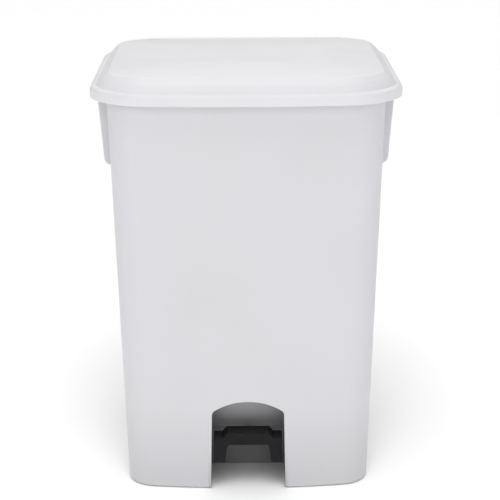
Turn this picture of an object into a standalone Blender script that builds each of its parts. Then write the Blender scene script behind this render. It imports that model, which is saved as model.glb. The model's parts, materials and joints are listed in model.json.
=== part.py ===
"""Pedal bin: white moulded body and lid, black foot pedal, and the steel linkage that lifts the lid.

Metres, +Z up, the pedal faces -Y, the bin is mirror-symmetric about X = 0 and stands on Z = 0.
"""

import math

import bmesh
import bpy
from mathutils import Matrix, Vector

# Lid
LID_HALF = 0.205
LID_CORNER = 0.0758
FRONT_BOW = 0.015
LID_REAR_BOW = 0.006
SKIRT_BOTTOM = 0.5414
REAR_SKIRT_BOTTOM = 0.5475
LID_LEDGE = 0.5566
LID_CREASE_INSET = 0.0245
LID_CREASE = 0.5734
LID_CROWN = 0.5776
LID_WALL = 0.0025
LID_OPEN = math.radians(70)
HOOD_HALF = 0.142

# Body
RIM_HALF = 0.1819
BASE_HALF = 0.1656
RIM_FRONT = -0.1856
RIM_BACK = 0.1866
TAPER = RIM_HALF - BASE_HALF
TAPER_HEIGHT = 0.5414
BODY_CORNER = 0.034
BODY_WALL = 0.003
FOOT_RIM = 0.009
FOOT_ROUND = 0.006
RIM_TOP = 0.5532
FLANGE_BOTTOM = 0.5455
FLANGE_INSET = 0.0047
FLANGE_REAR_END = 0.170
BASE_UNDER = 0.086
BASE_TOP = 0.0893

# Grips
GRIP_HALF = 0.082
GRIP_BOTTOM = 0.440
POCKET_HALF = 0.071
POCKET_BOTTOM = 0.395
POCKET_INNER = 0.160

# Foot recess
RECESS_HALF_TOP = 0.0490
RECESS_HALF_BOTTOM = 0.0512
RECESS_SHOULDER = 0.1155
RECESS_CROWN = 0.130
RECESS_BACK = -0.0805
RECESS_WALL = 0.0025
RECESS_FOOT_ROUND = 0.0022
HOOD_FRONT = -0.1685
HOOD_FOOT = -0.1375
HOOD_LIP = 0.003
HOOD_LIP_BOTTOM = 0.0785
LEVER_SLOT_HALF = 0.0055

# Linkage
HINGE_Y = 0.1945
HINGE_Z = 0.552
HINGE_X = 0.100
LINK_RADIUS = 0.0458
LINK_Y = HINGE_Y - LINK_RADIUS * math.cos(LID_OPEN / 2)
LINK_Z = HINGE_Z - LINK_RADIUS * math.sin(LID_OPEN / 2)
ROD_Y = 0.153
ROD_TRAVEL = 2 * LINK_RADIUS * math.sin(LID_OPEN / 2)
PIVOT_Y = -0.060
PIVOT_Z = 0.040
PEDAL_TURN = 2 * math.atan(ROD_TRAVEL / 2 / (ROD_Y - PIVOT_Y))
LEVER_END_Z = PIVOT_Z - ROD_TRAVEL / 2
GROOVE_HALF = 0.022
GROOVE_FRONT = 0.140
GUIDE_HEIGHTS = (0.150, 0.420)
COVER_HALF = 0.036
COVER_BOTTOM = 0.030
COVER_TOP = 0.505
COVER_SCREWS = ((0.030, 0.060), (-0.030, 0.060), (0.030, 0.475), (-0.030, 0.475))

# Pedal
PEDAL_FRONT = -0.1665
PEDAL_BACK = -0.1385
PEDAL_HALF = 0.0465
TREAD_HALF = 0.0285
TREAD_TOP = 0.0812
SHOULDER_TOP = 0.0742
LIP_BOTTOM = 0.0642
CHEEK_BOTTOM = 0.0385
CHEEK_INNER = 0.0315
LEVER_HALF = 0.0025

PIN_RADIUS = 0.0025
PLAY = 0.0002
GAP = 0.0003

for old in list(bpy.data.objects):
    bpy.data.objects.remove(old)

parts = bpy.data.collections.new("pedal_bin")
cutters = bpy.data.collections.new("pedal_bin_cutters")
for collection in (parts, cutters):
    bpy.context.scene.collection.children.link(collection)

SURFACES = {
    "white": ((0.73, 0.73, 0.75), 0.0, 0.38),
    "black": ((0.022, 0.022, 0.024), 0.0, 0.5),
    "grey": ((0.35, 0.35, 0.36), 0.0, 0.45),
    "steel": ((0.55, 0.56, 0.57), 1.0, 0.32),
    "zinc": ((0.66, 0.67, 0.69), 1.0, 0.38),
}


def surface(obj, kind):
    color, metallic, roughness = SURFACES[kind]
    material = bpy.data.materials.new(obj.name + "_surface")
    material.use_nodes = True
    shader = material.node_tree.nodes["Principled BSDF"]
    shader.inputs["Base Color"].default_value = (*color, 1.0)
    shader.inputs["Metallic"].default_value = metallic
    shader.inputs["Roughness"].default_value = roughness
    obj.data.materials.clear()
    obj.data.materials.append(material)


def keep(obj, kind, smooth=False):
    """A piece of the bin, in its own surface."""
    parts.objects.link(obj)
    surface(obj, kind)
    if smooth:
        for face in obj.data.polygons:
            face.use_smooth = len(face.vertices) == 4
    return obj


def helper(obj):
    """A shape that only cuts or joins another."""
    cutters.objects.link(obj)
    obj.hide_render = True
    obj.display_type = "WIRE"
    return obj


def from_bmesh(name, mesh_data):
    bmesh.ops.recalc_face_normals(mesh_data, faces=mesh_data.faces)
    mesh = bpy.data.meshes.new(name)
    mesh_data.to_mesh(mesh)
    mesh_data.free()
    return bpy.data.objects.new(name, mesh)


def box(name, low, high):
    low, high = Vector(low), Vector(high)
    size = high - low
    mesh_data = bmesh.new()
    bmesh.ops.create_cube(mesh_data, size=1.0)
    bmesh.ops.scale(mesh_data, vec=size, verts=mesh_data.verts)
    obj = from_bmesh(name, mesh_data)
    obj.location = (low + high) / 2
    return obj


AXIS_TURN = {
    "X": Matrix.Rotation(math.pi / 2, 4, "Y"),
    "Y": Matrix.Rotation(-math.pi / 2, 4, "X"),
    "Z": Matrix.Identity(4),
}


def rods(name, axis, radius, ends, segments=16):
    """Cylinders along one axis. Each entry of ends is (centre, length)."""
    mesh_data = bmesh.new()
    for centre, length in ends:
        bmesh.ops.create_cone(
            mesh_data,
            cap_ends=True,
            segments=segments,
            radius1=radius,
            radius2=radius,
            depth=length,
            matrix=Matrix.Translation(centre) @ AXIS_TURN[axis],
        )
    return from_bmesh(name, mesh_data)


def turned(name, profile, axis, place, steps=16):
    """A turned piece: (radius, height) points from top to bottom, spun about its axis at place."""
    mesh_data = bmesh.new()
    points = [mesh_data.verts.new((radius, 0, height)) for radius, height in profile]
    for first, second in zip(points, points[1:]):
        mesh_data.edges.new((first, second))
    mesh = bpy.data.meshes.new(name)
    mesh_data.to_mesh(mesh)
    mesh_data.free()
    obj = bpy.data.objects.new(name, mesh)
    spin = obj.modifiers.new("spin", "SCREW")
    spin.axis = "Z"
    spin.steps = spin.render_steps = steps
    spin.use_merge_vertices = True
    spin.merge_threshold = 0.00001
    spin.use_smooth_shade = True
    obj.matrix_world = Matrix.Translation(place) @ axis
    return obj


def extruded(name, outline, axis, low, high):
    """A flat outline given in the two other axes (Y,Z or X,Z or X,Y), extruded from low to high."""
    curve = bpy.data.curves.new(name, "CURVE")
    curve.dimensions = "2D"
    curve.fill_mode = "BOTH"
    curve.extrude = (high - low) / 2
    line = curve.splines.new("POLY")
    line.points.add(len(outline) - 1)
    for point, (u, v) in zip(line.points, outline):
        point.co = (u, v, 0, 1)
    line.use_cyclic_u = True
    drawn = bpy.data.objects.new(name + "_outline", curve)
    middle = (low + high) / 2
    columns = {
        "X": ((0, 1, 0), (0, 0, 1), (1, 0, 0)),
        "Y": ((1, 0, 0), (0, 0, 1), (0, 1, 0)),
        "Z": ((1, 0, 0), (0, 1, 0), (0, 0, 1)),
    }[axis]
    turn = Matrix(columns).transposed().to_4x4()
    shift = Vector(columns[2]) * middle
    bpy.context.scene.collection.objects.link(drawn)
    bpy.context.view_layer.update()
    mesh = bpy.data.meshes.new_from_object(
        drawn.evaluated_get(bpy.context.evaluated_depsgraph_get())
    )
    bpy.data.objects.remove(drawn)
    mesh_data = bmesh.new()
    mesh_data.from_mesh(mesh)
    bpy.data.meshes.remove(mesh)
    bmesh.ops.remove_doubles(mesh_data, verts=mesh_data.verts, dist=0.000001)
    bmesh.ops.transform(mesh_data, matrix=Matrix.Translation(shift) @ turn, verts=mesh_data.verts)
    return from_bmesh(name, mesh_data)


def stadium(low, high, radius, steps=8):
    """A slot outline between two centres on one level, as (place, rise) points."""
    points = []
    for centre, start in ((high, math.pi / 2), (low, -math.pi / 2)):
        for step in range(steps + 1):
            angle = start - math.pi * step / steps
            points.append((centre + radius * math.cos(angle), radius * math.sin(angle)))
    return points


def boolean(target, other, operation):
    modifier = target.modifiers.new(other.name, "BOOLEAN")
    modifier.operation = operation
    modifier.solver = "EXACT"
    modifier.object = other
    return target


def cut(target, *others):
    for other in others:
        boolean(target, other, "DIFFERENCE")
    return target


def join(target, *others):
    for other in others:
        boolean(target, other, "UNION")
    return target


def plan_ring(half_width, front, back, corner, front_bow, back_bow=0.0, steps=6):
    """One plan outline: a rounded rectangle, front and back edges bowed outwards."""
    centres = (
        (half_width - corner, front + corner, -90),
        (half_width - corner, back - corner, 0),
        (-half_width + corner, back - corner, 90),
        (-half_width + corner, front + corner, 180),
    )
    points = []
    for x, y, start in centres:
        for step in range(steps + 1):
            angle = math.radians(start + 90 * step / steps)
            points.append((x + corner * math.cos(angle), y + corner * math.sin(angle)))
        if start == 0:
            reach = half_width - corner
            points += [(reach * t, back) for t in (0.5, 0.0, -0.5)]
    reach = half_width - corner
    points += [(reach * t, front) for t in (-0.67, -0.33, 0.0, 0.33, 0.67)]
    middle, half_depth = (front + back) / 2, (back - front) / 2
    bowed = []
    for x, y in points:
        side = (middle - y) / half_depth
        bow = front_bow if side > 0 else back_bow
        bowed.append((x, y + bow * (x / half_width) ** 2 * side))
    return bowed


def loft(name, rings):
    """A closed solid through plan outlines with the same number of points, bottom ring first."""
    mesh_data = bmesh.new()
    rows = [[mesh_data.verts.new(point) for point in ring] for ring in rings]
    count = len(rows[0])
    for low, high in zip(rows, rows[1:]):
        for i in range(count):
            j = (i + 1) % count
            mesh_data.faces.new((low[i], low[j], high[j], high[i]))
    mesh_data.faces.new(rows[0][::-1])
    mesh_data.faces.new(rows[-1])
    return from_bmesh(name, mesh_data)


def body_ring(z, inset, at_z=None):
    """The body's outline at height z, brought in by inset."""
    narrowing = TAPER * (1 - z / TAPER_HEIGHT)
    outline = plan_ring(
        RIM_HALF - narrowing - inset,
        RIM_FRONT + narrowing + inset,
        RIM_BACK - narrowing - inset,
        BODY_CORNER - inset,
        FRONT_BOW,
    )
    return [(x, y, z if at_z is None else at_z) for x, y in outline]


def back_wall(z):
    return RIM_BACK - TAPER * (1 - z / TAPER_HEIGHT)


def rear_fall(y):
    """How far the lid's top falls towards its hinge."""
    t = min(max((y - 0.088) / 0.09, 0.0), 1.0)
    return 0.002 * t * t * (3 - 2 * t)


def lid_ring(z, inset):
    beyond = max(0.0, inset - LID_CREASE_INSET)
    outline = plan_ring(
        LID_HALF - inset,
        -LID_HALF + inset,
        LID_HALF - inset,
        LID_CORNER - min(inset, LID_CREASE_INSET) - 0.3 * beyond,
        FRONT_BOW,
        LID_REAR_BOW,
    )
    top = z > LID_LEDGE + 0.004
    return [(x, y, z - rear_fall(y) if top else z) for x, y in outline]


# ---------------------------------------------------------------- body shell

foot_rings = []
for step in range(5):
    angle = math.radians(90 * step / 4)
    up, out = FOOT_ROUND * (1 - math.cos(angle)), FOOT_ROUND * (1 - math.sin(angle))
    foot_rings.append(body_ring(up, out))
body_shell = keep(
    loft("body_shell", [*foot_rings, body_ring(RIM_TOP, 0.0)]),
    "white",
    smooth=True,
)

rim_flange = helper(
    loft(
        "rim_flange",
        [lid_ring(FLANGE_BOTTOM, FLANGE_INSET), lid_ring(RIM_TOP, FLANGE_INSET)],
    )
)
rim_flange_end = helper(box("rim_flange_end", (-0.3, FLANGE_REAR_END, 0.5), (0.3, 0.3, 0.6)))
cut(rim_flange, rim_flange_end)
join(body_shell, rim_flange)

GRIP_OUTLINE = (
    (0.164, GRIP_BOTTOM),
    (0.1865, GRIP_BOTTOM),
    (0.1905, 0.4425),
    (0.1922, 0.4470),
    (0.2000, FLANGE_BOTTOM + 0.001),
    (0.164, FLANGE_BOTTOM + 0.001),
)
POCKET_OUTLINE = (
    (POCKET_INNER, POCKET_BOTTOM),
    (0.215, POCKET_BOTTOM - 0.010),
    (0.215, 0.430),
    (0.1840, 0.430),
    (0.1840, GRIP_BOTTOM),
    (0.1970, 0.534),
    (POCKET_INNER + 0.006, 0.534),
    (POCKET_INNER, 0.528),
)
for side, sign in (("left", -1), ("right", 1)):
    grip = [(sign * x, z) for x, z in GRIP_OUTLINE]
    join(body_shell, helper(extruded(f"grip_{side}", grip, "Y", -GRIP_HALF, GRIP_HALF)))

LUG_OUTLINE = (
    (-0.0120, -0.0170),
    (-0.0060, -0.0170),
    (-0.0035, -0.0045),
    (0.0, -0.0040),
    (0.0, 0.0040),
    (-0.0120, 0.0011),
)
lug_outline = [(HINGE_Y + y, HINGE_Z + z) for y, z in LUG_OUTLINE]
for side, sign in (("left", -1), ("right", 1)):
    low, high = sorted((sign * (HINGE_X - 0.008), sign * (HINGE_X + 0.008)))
    lug = helper(extruded(f"hinge_lug_{side}", lug_outline, "X", low + 0.0005, high - 0.0005))
    eye = helper(
        rods(f"hinge_eye_{side}", "X", 0.006, [((sign * HINGE_X, HINGE_Y, HINGE_Z), 0.016)])
    )
    join(body_shell, join(lug, eye))

cavity = helper(
    loft(
        "cavity",
        [body_ring(BASE_TOP, BODY_WALL), body_ring(0.60, BODY_WALL)],
    )
)
for side, sign in (("left", -1), ("right", 1)):
    low, high = sorted((sign * (POCKET_INNER - BODY_WALL), sign * 0.25))
    wall = box(
        f"pocket_wall_{side}",
        (low, -POCKET_HALF - BODY_WALL, POCKET_BOTTOM - 0.006),
        (high, POCKET_HALF + BODY_WALL, 0.65),
    )
    cut(cavity, helper(wall))
HOOD_OUTLINE = (
    (-0.25, 0.0),
    (-0.25, RECESS_CROWN + 0.0042),
    (HOOD_FRONT + 0.0015, RECESS_CROWN + 0.0042),
    (HOOD_FOOT + 0.0035, BASE_UNDER),
    (HOOD_FOOT + 0.0035, 0.0),
)
hood_block = helper(
    extruded(
        "hood_block",
        HOOD_OUTLINE,
        "X",
        -RECESS_HALF_BOTTOM - RECESS_WALL,
        RECESS_HALF_BOTTOM + RECESS_WALL,
    )
)
groove_block = helper(
    box(
        "groove_block",
        (-GROOVE_HALF - BODY_WALL, GROOVE_FRONT - BODY_WALL, 0.0),
        (GROOVE_HALF + BODY_WALL, 0.25, 0.65),
    )
)
cut(cavity, hood_block, groove_block)
for index, height in enumerate(GUIDE_HEIGHTS, 1):
    pad = box(
        f"guide_pad_{index}",
        (-0.020, GROOVE_FRONT - 0.0085, height - 0.009),
        (0.020, 0.20, height + 0.009),
    )
    cut(cavity, helper(pad))
for index, (x, z) in enumerate(COVER_SCREWS, 1):
    if z > BASE_TOP:
        boss = box(
            f"cover_boss_{index}",
            (x - 0.006, back_wall(z) - 0.0105, z - 0.006),
            (x + 0.006, 0.25, z + 0.006),
        )
        cut(cavity, helper(boss))
bracket_pad = helper(box("bracket_pad", (-0.046, -0.080, 0.08), (0.046, -0.040, 0.0945)))
cut(cavity, bracket_pad)
cut(body_shell, cavity)

underside = helper(
    loft(
        "underside",
        [
            body_ring(0.0, FOOT_RIM, -0.05),
            body_ring(0.0, FOOT_RIM, 0.0050),
            body_ring(0.0085, BODY_WALL),
            body_ring(BASE_UNDER, BODY_WALL),
        ],
    )
)
recess_block = helper(
    box(
        "recess_block",
        (-RECESS_HALF_BOTTOM - RECESS_WALL, -0.25, -0.1),
        (RECESS_HALF_BOTTOM + RECESS_WALL, RECESS_BACK + RECESS_WALL, 0.2),
    )
)
cut(underside, recess_block)
for index, (x, z) in enumerate(COVER_SCREWS, 1):
    if z < BASE_UNDER:
        boss = box(
            f"cover_boss_{index}",
            (x - 0.006, back_wall(z) - 0.0105, z - 0.006),
            (x + 0.006, 0.25, z + 0.006),
        )
        cut(underside, helper(boss))
cut(body_shell, underside)

foot_round = []
for step in range(4):
    angle = math.pi / 2 * step / 3
    out = RECESS_FOOT_ROUND * (1 - math.sin(angle))
    foot_round.append((RECESS_HALF_BOTTOM + out, RECESS_FOOT_ROUND * (1 - math.cos(angle))))
foot_edge = RECESS_HALF_BOTTOM + RECESS_FOOT_ROUND
arch = [(-foot_edge, -0.05), (foot_edge, -0.05), *foot_round]
arch.append((RECESS_HALF_TOP, RECESS_SHOULDER - 0.004))
rise = RECESS_CROWN - RECESS_SHOULDER
chord = RECESS_HALF_TOP - 0.0022
arch_radius = (chord**2 + rise**2) / (2 * rise)
reach = math.asin(chord / arch_radius)
for step in range(11):
    angle = reach * (1 - 2 * step / 10)
    arch.append(
        (arch_radius * math.sin(angle), RECESS_CROWN - arch_radius * (1 - math.cos(angle)))
    )
arch.append((-RECESS_HALF_TOP, RECESS_SHOULDER - 0.004))
arch += [(-x, z) for x, z in reversed(foot_round)]
recess = helper(extruded("recess", arch, "Y", -0.25, RECESS_BACK))
hood_slope = (HOOD_FOOT - HOOD_FRONT) / (RECESS_CROWN - BASE_UNDER)
lip_front = HOOD_FOOT + hood_slope * (BASE_UNDER - HOOD_LIP_BOTTOM)
RECESS_ROOF = (
    (HOOD_FRONT, RECESS_CROWN),
    (lip_front, HOOD_LIP_BOTTOM),
    (lip_front + HOOD_LIP, HOOD_LIP_BOTTOM),
    (HOOD_FOOT + HOOD_LIP, BASE_UNDER),
    (0.0, BASE_UNDER),
    (0.0, 0.3),
    (HOOD_FRONT, 0.3),
)
cut(recess, helper(extruded("recess_roof", RECESS_ROOF, "X", -0.1, 0.1)))
cut(body_shell, recess)

lever_slot = helper(
    box("lever_slot", (-LEVER_SLOT_HALF, -0.09, 0.029), (LEVER_SLOT_HALF, -0.07, 0.0575))
)
rod_groove = helper(
    box("rod_groove", (-GROOVE_HALF, GROOVE_FRONT, -0.05), (GROOVE_HALF, 0.25, 0.65))
)
cut(body_shell, lever_slot, rod_groove)
for side, sign in (("left", -1), ("right", 1)):
    pocket = [(sign * x, z) for x, z in POCKET_OUTLINE]
    cut(body_shell, helper(extruded(f"pocket_{side}", pocket, "Y", -POCKET_HALF, POCKET_HALF)))

BRACKET_SCREWS = tuple((x, y) for x in (-0.0345, 0.0345) for y in (-0.068, -0.052))
body_holes = helper(
    rods(
        "body_hinge_holes",
        "X",
        PIN_RADIUS + PLAY,
        [((sign * HINGE_X, HINGE_Y, HINGE_Z), 0.03) for sign in (-1, 1)],
    )
)
guide_pilots = helper(
    rods(
        "guide_pilots",
        "Y",
        0.0018,
        [
            ((x, GROOVE_FRONT - 0.002, z), 0.010)
            for z in GUIDE_HEIGHTS
            for x in (-0.0125, 0.0125)
        ],
        segments=12,
    )
)
cover_pilots = helper(
    rods(
        "cover_pilots",
        "Y",
        0.0018,
        [((x, back_wall(z), z), 0.018) for x, z in COVER_SCREWS],
        segments=12,
    )
)
bracket_pilots = helper(
    rods(
        "bracket_pilots",
        "Z",
        0.0018,
        [((x, y, BASE_UNDER), 0.0144) for x, y in BRACKET_SCREWS],
        segments=12,
    )
)
cut(body_shell, body_holes, guide_pilots, cover_pilots, bracket_pilots)

# ---------------------------------------------------------------- lid shell

lid_shell = keep(
    loft(
        "lid_shell",
        [
            lid_ring(SKIRT_BOTTOM, 0.0008),
            lid_ring(SKIRT_BOTTOM + 0.001, 0.0),
            lid_ring(0.5515, 0.0),
            lid_ring(0.5548, 0.0015),
            lid_ring(LID_LEDGE - 0.0003, 0.0045),
            lid_ring(LID_LEDGE, 0.0078),
            lid_ring(0.5662, 0.0147),
            lid_ring(LID_CREASE - 0.0010, LID_CREASE_INSET - 0.0022),
            lid_ring(LID_CREASE + 0.0003, LID_CREASE_INSET + 0.0010),
            lid_ring(0.5761, 0.065),
            lid_ring(LID_CROWN, 0.120),
        ],
    ),
    "white",
    smooth=True,
)
HINGE_HOOD = (
    (0.150, 0.5650),
    (0.150, 0.5744),
    (0.1535, 0.5752),
    (0.2005, 0.5688),
    (0.2038, 0.5662),
    (0.2046, 0.5630),
    (0.2046, 0.5500),
    (0.190, 0.5500),
)
join(lid_shell, helper(extruded("hinge_hood", HINGE_HOOD, "X", -HOOD_HALF, HOOD_HALF)))

lid_hollow = helper(
    loft(
        "lid_hollow",
        [
            lid_ring(0.50, LID_WALL),
            lid_ring(LID_LEDGE - 0.0031, LID_WALL),
            lid_ring(LID_LEDGE - 0.0029, 0.0100),
            lid_ring(0.5642, 0.0165),
            lid_ring(0.5710, LID_CREASE_INSET + 0.0017),
            lid_ring(0.5734, 0.065),
            lid_ring(LID_CROWN - LID_WALL, 0.120),
        ],
    )
)
HOOD_HOLLOW = (
    (0.166, 0.53),
    (0.166, 0.5704),
    (0.1993, 0.5660),
    (0.2018, 0.5632),
    (0.2018, 0.53),
)
hood_hollow = helper(
    extruded("hood_hollow", HOOD_HOLLOW, "X", -HOOD_HALF + LID_WALL, HOOD_HALF - LID_WALL)
)
rear_skirt = helper(box("rear_skirt", (-0.3, 0.1805, 0.52), (0.3, 0.3, REAR_SKIRT_BOTTOM)))
cut(lid_shell, lid_hollow, hood_hollow, rear_skirt)

KNUCKLES = ((0.0850, 0.0917), (0.1083, 0.1150))
KNUCKLE_RIB = (
    (0.1900, 0.5520),
    (0.1900, 0.5688),
    (0.1993, 0.5674),
    (0.2028, 0.5642),
    (0.2028, 0.5520),
)
for side, sign in (("left", -1), ("right", 1)):
    for place, (near, far) in zip(("inner", "outer"), KNUCKLES):
        low, high = sorted((sign * near, sign * far))
        rib = extruded(
            f"knuckle_rib_{side}_{place}", KNUCKLE_RIB, "X", low + 0.0005, high - 0.0005
        )
        knuckle = rods(
            f"knuckle_{side}_{place}",
            "X",
            0.006,
            [(((low + high) / 2, HINGE_Y, HINGE_Z), high - low)],
        )
        join(lid_shell, join(helper(rib), helper(knuckle)))
LINK_BOSSES = (-0.018, 0.018)
LINK_SCREW_Y = 0.157
lid_bosses = helper(
    rods(
        "lid_bosses",
        "Z",
        0.005,
        [((x, LINK_SCREW_Y, 0.5675), 0.0096) for x in LINK_BOSSES],
    )
)
join(lid_shell, lid_bosses)
knuckle_holes = helper(
    rods(
        "knuckle_holes",
        "X",
        PIN_RADIUS + PLAY,
        [((sign * HINGE_X, HINGE_Y, HINGE_Z), 0.05) for sign in (-1, 1)],
    )
)
boss_pilots = helper(
    rods(
        "boss_pilots",
        "Z",
        0.0016,
        [((x, LINK_SCREW_Y, 0.5645), 0.0110) for x in LINK_BOSSES],
        segments=12,
    )
)
cut(lid_shell, knuckle_holes, boss_pilots)

# ---------------------------------------------------------------- lid link

link_bracket = keep(
    box("lid_link_bracket", (-0.0240, 0.1490, 0.5602), (0.0240, 0.1650, 0.5624)), "zinc"
)
LINK_CHEEK = (
    (LINK_Y - 0.0065, 0.5612),
    (LINK_Y - 0.0065, LINK_Z),
    (LINK_Y - 0.0046, LINK_Z - 0.0046),
    (LINK_Y, LINK_Z - 0.0065),
    (LINK_Y + 0.0046, LINK_Z - 0.0046),
    (LINK_Y + 0.0065, LINK_Z),
    (LINK_Y + 0.0065, 0.5612),
)
for side, low in (("left", -0.0052), ("right", 0.0030)):
    join(
        link_bracket,
        helper(extruded(f"link_cheek_{side}", LINK_CHEEK, "X", low, low + 0.0022)),
    )
link_holes = helper(
    rods("link_hole", "X", PIN_RADIUS + PLAY, [((0, LINK_Y, LINK_Z), 0.03)])
)
link_screw_holes = helper(
    rods(
        "link_screw_holes",
        "Z",
        0.0020,
        [((x, LINK_SCREW_Y, 0.5613), 0.01) for x in LINK_BOSSES],
        segments=12,
    )
)
cut(link_bracket, link_holes, link_screw_holes)

FLIP = Matrix.Rotation(math.pi, 4, "X")
TO_PLUS_X = Matrix.Rotation(math.pi / 2, 4, "Y")
TO_MINUS_X = Matrix.Rotation(-math.pi / 2, 4, "Y")
TO_PLUS_Y = Matrix.Rotation(-math.pi / 2, 4, "X")
UPRIGHT = Matrix.Identity(4)


def screw(name, place, axis, length, head=0.0038, height=0.0024, shank=0.0014):
    """A pan-head screw. Its head stands on the plane at place, and its shank runs the other way."""
    profile = (
        (0.0, height),
        (head * 0.55, height),
        (head, height * 0.45),
        (head, 0.0),
        (shank, 0.0),
        (shank, -length + shank),
        (0.0, -length),
    )
    return keep(turned(name, profile, axis, place, steps=12), "zinc")


def clip(name, place, bore, rim, thickness):
    """A push-on retaining washer on a pin along X, centred at place."""
    half = thickness / 2
    profile = ((bore, half), (rim, half), (rim, -half), (bore, -half), (bore, half))
    return keep(turned(name, profile, TO_PLUS_X, place, steps=16), "zinc")


link_screws = [
    screw(f"link_screw_{side}", (x, LINK_SCREW_Y, 0.5599), FLIP, 0.0092)
    for side, x in zip(("left", "right"), LINK_BOSSES)
]
link_pin = keep(
    turned(
        "link_pin",
        ((0, 0.0), (0.0042, 0.0), (0.0042, -0.0018), (0.0025, -0.0018), (0.0025, -0.0170), (0, -0.0170)),
        TO_PLUS_X,
        (0.0073, LINK_Y, LINK_Z),
    ),
    "steel",
)
link_clip = clip("link_pin_clip", (-0.0066, LINK_Y, LINK_Z), 0.0027, 0.0048, 0.0014)

# ---------------------------------------------------------------- lid hinge pins

hinge_pins, hinge_clips = [], []
for side, sign, axis in (("left", -1, TO_MINUS_X), ("right", 1, TO_PLUS_X)):
    profile = (
        (0.0, 0.0022),
        (0.0036, 0.0022),
        (0.0046, 0.0010),
        (0.0046, 0.0),
        (PIN_RADIUS, 0.0),
        (PIN_RADIUS, -0.0340),
        (0.0020, -0.0345),
        (0.0, -0.0345),
    )
    pin = turned(
        f"hinge_pin_{side}", profile, axis, (sign * (0.1150 + GAP), HINGE_Y, HINGE_Z)
    )
    hinge_pins.append(keep(pin, "steel"))
    hinge_clips.append(
        clip(f"hinge_pin_clip_{side}", (sign * 0.0837, HINGE_Y, HINGE_Z), 0.0027, 0.0050, 0.0016)
    )

# ---------------------------------------------------------------- push rod and guides

HEAD_LOW = HINGE_Y - LINK_RADIUS
HEAD_HIGH = LINK_Y


def at_link(outline):
    return [(y, LINK_Z + rise) for y, rise in outline]


head_outline = stadium(HEAD_LOW, HEAD_HIGH, 0.0068)
slot_outline = stadium(HEAD_LOW - 0.0003, HEAD_HIGH + 0.0003, 0.0033)
push_rod = keep(
    box("push_rod", (-0.0020, ROD_Y - 0.004, 0.0285), (0.0020, ROD_Y + 0.004, LINK_Z - 0.004)),
    "steel",
)
rod_head = helper(extruded("rod_head", at_link(head_outline), "X", -0.0020, 0.0020))
rod_slot = helper(extruded("rod_slot", at_link(slot_outline), "X", -0.01, 0.01))
FORK_OUTLINE = (
    (ROD_Y - 0.0065, 0.0310),
    (ROD_Y - 0.0065, LEVER_END_Z),
    (ROD_Y - 0.0045, LEVER_END_Z - 0.0045),
    (ROD_Y, LEVER_END_Z - 0.0062),
    (ROD_Y + 0.0045, LEVER_END_Z - 0.0045),
    (ROD_Y + 0.0065, LEVER_END_Z),
    (ROD_Y + 0.0065, 0.0310),
)
rod_fork = helper(extruded("rod_fork", FORK_OUTLINE, "X", -0.0058, 0.0058))
fork_gap = helper(box("fork_gap", (-0.0033, 0.13, -0.01), (0.0033, 0.18, 0.0275)))
cut(rod_fork, fork_gap)
join(push_rod, rod_head, rod_fork)
fork_hole = helper(
    rods("fork_hole", "X", PIN_RADIUS + PLAY, [((0, ROD_Y, LEVER_END_Z), 0.03)])
)
cut(push_rod, rod_slot, fork_hole)
fork_pin = keep(
    turned(
        "fork_pin",
        ((0, 0.0), (0.0042, 0.0), (0.0042, -0.0018), (0.0025, -0.0018), (0.0025, -0.0180), (0, -0.0180)),
        TO_PLUS_X,
        (0.0079, ROD_Y, LEVER_END_Z),
    ),
    "steel",
)
fork_clip = clip("fork_pin_clip", (-0.0072, ROD_Y, LEVER_END_Z), 0.0027, 0.0048, 0.0014)

guides, guide_screws = [], []
for place, height in zip(("lower", "upper"), GUIDE_HEIGHTS):
    guide = keep(
        box(
            f"rod_guide_{place}",
            (-0.0185, GROOVE_FRONT + GAP, height - 0.007),
            (0.0185, 0.1475, height + 0.007),
        ),
        "grey",
    )
    collar = helper(
        box(
            f"guide_collar_{place}",
            (-0.0065, 0.1440, height - 0.007),
            (0.0065, 0.1605, height + 0.007),
        )
    )
    rod_way = helper(
        box(
            f"guide_way_{place}",
            (-0.0023, ROD_Y - 0.0043, height - 0.03),
            (0.0023, ROD_Y + 0.0043, height + 0.03),
        )
    )
    screw_way = helper(
        rods(
            f"guide_screw_way_{place}",
            "Y",
            0.0020,
            [((x, 0.145, height), 0.03) for x in (-0.0125, 0.0125)],
            segments=12,
        )
    )
    join(guide, collar)
    guides.append(cut(guide, rod_way, screw_way))
    for side, x in (("left", -0.0125), ("right", 0.0125)):
        guide_screws.append(
            screw(f"guide_screw_{place}_{side}", (x, 0.1478, height), TO_PLUS_Y, 0.0138)
        )

channel_cover_outline = [
    (back_wall(COVER_BOTTOM) + GAP, COVER_BOTTOM),
    (back_wall(COVER_BOTTOM) + 0.0028, COVER_BOTTOM),
    (back_wall(COVER_TOP) + 0.0028, COVER_TOP),
    (back_wall(COVER_TOP) + GAP, COVER_TOP),
]
channel_cover = keep(
    extruded("channel_cover", channel_cover_outline, "X", -COVER_HALF, COVER_HALF), "white"
)
cover_screw_ways = helper(
    rods(
        "cover_screw_ways",
        "Y",
        0.0020,
        [((x, back_wall(z), z), 0.03) for x, z in COVER_SCREWS],
        segments=12,
    )
)
cut(channel_cover, cover_screw_ways)
cover_screws = [
    screw(f"cover_screw_{index}", (x, back_wall(z) + 0.0034, z), TO_PLUS_Y, 0.0112)
    for index, (x, z) in enumerate(COVER_SCREWS, 1)
]

# ---------------------------------------------------------------- pedal bracket and axle

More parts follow.
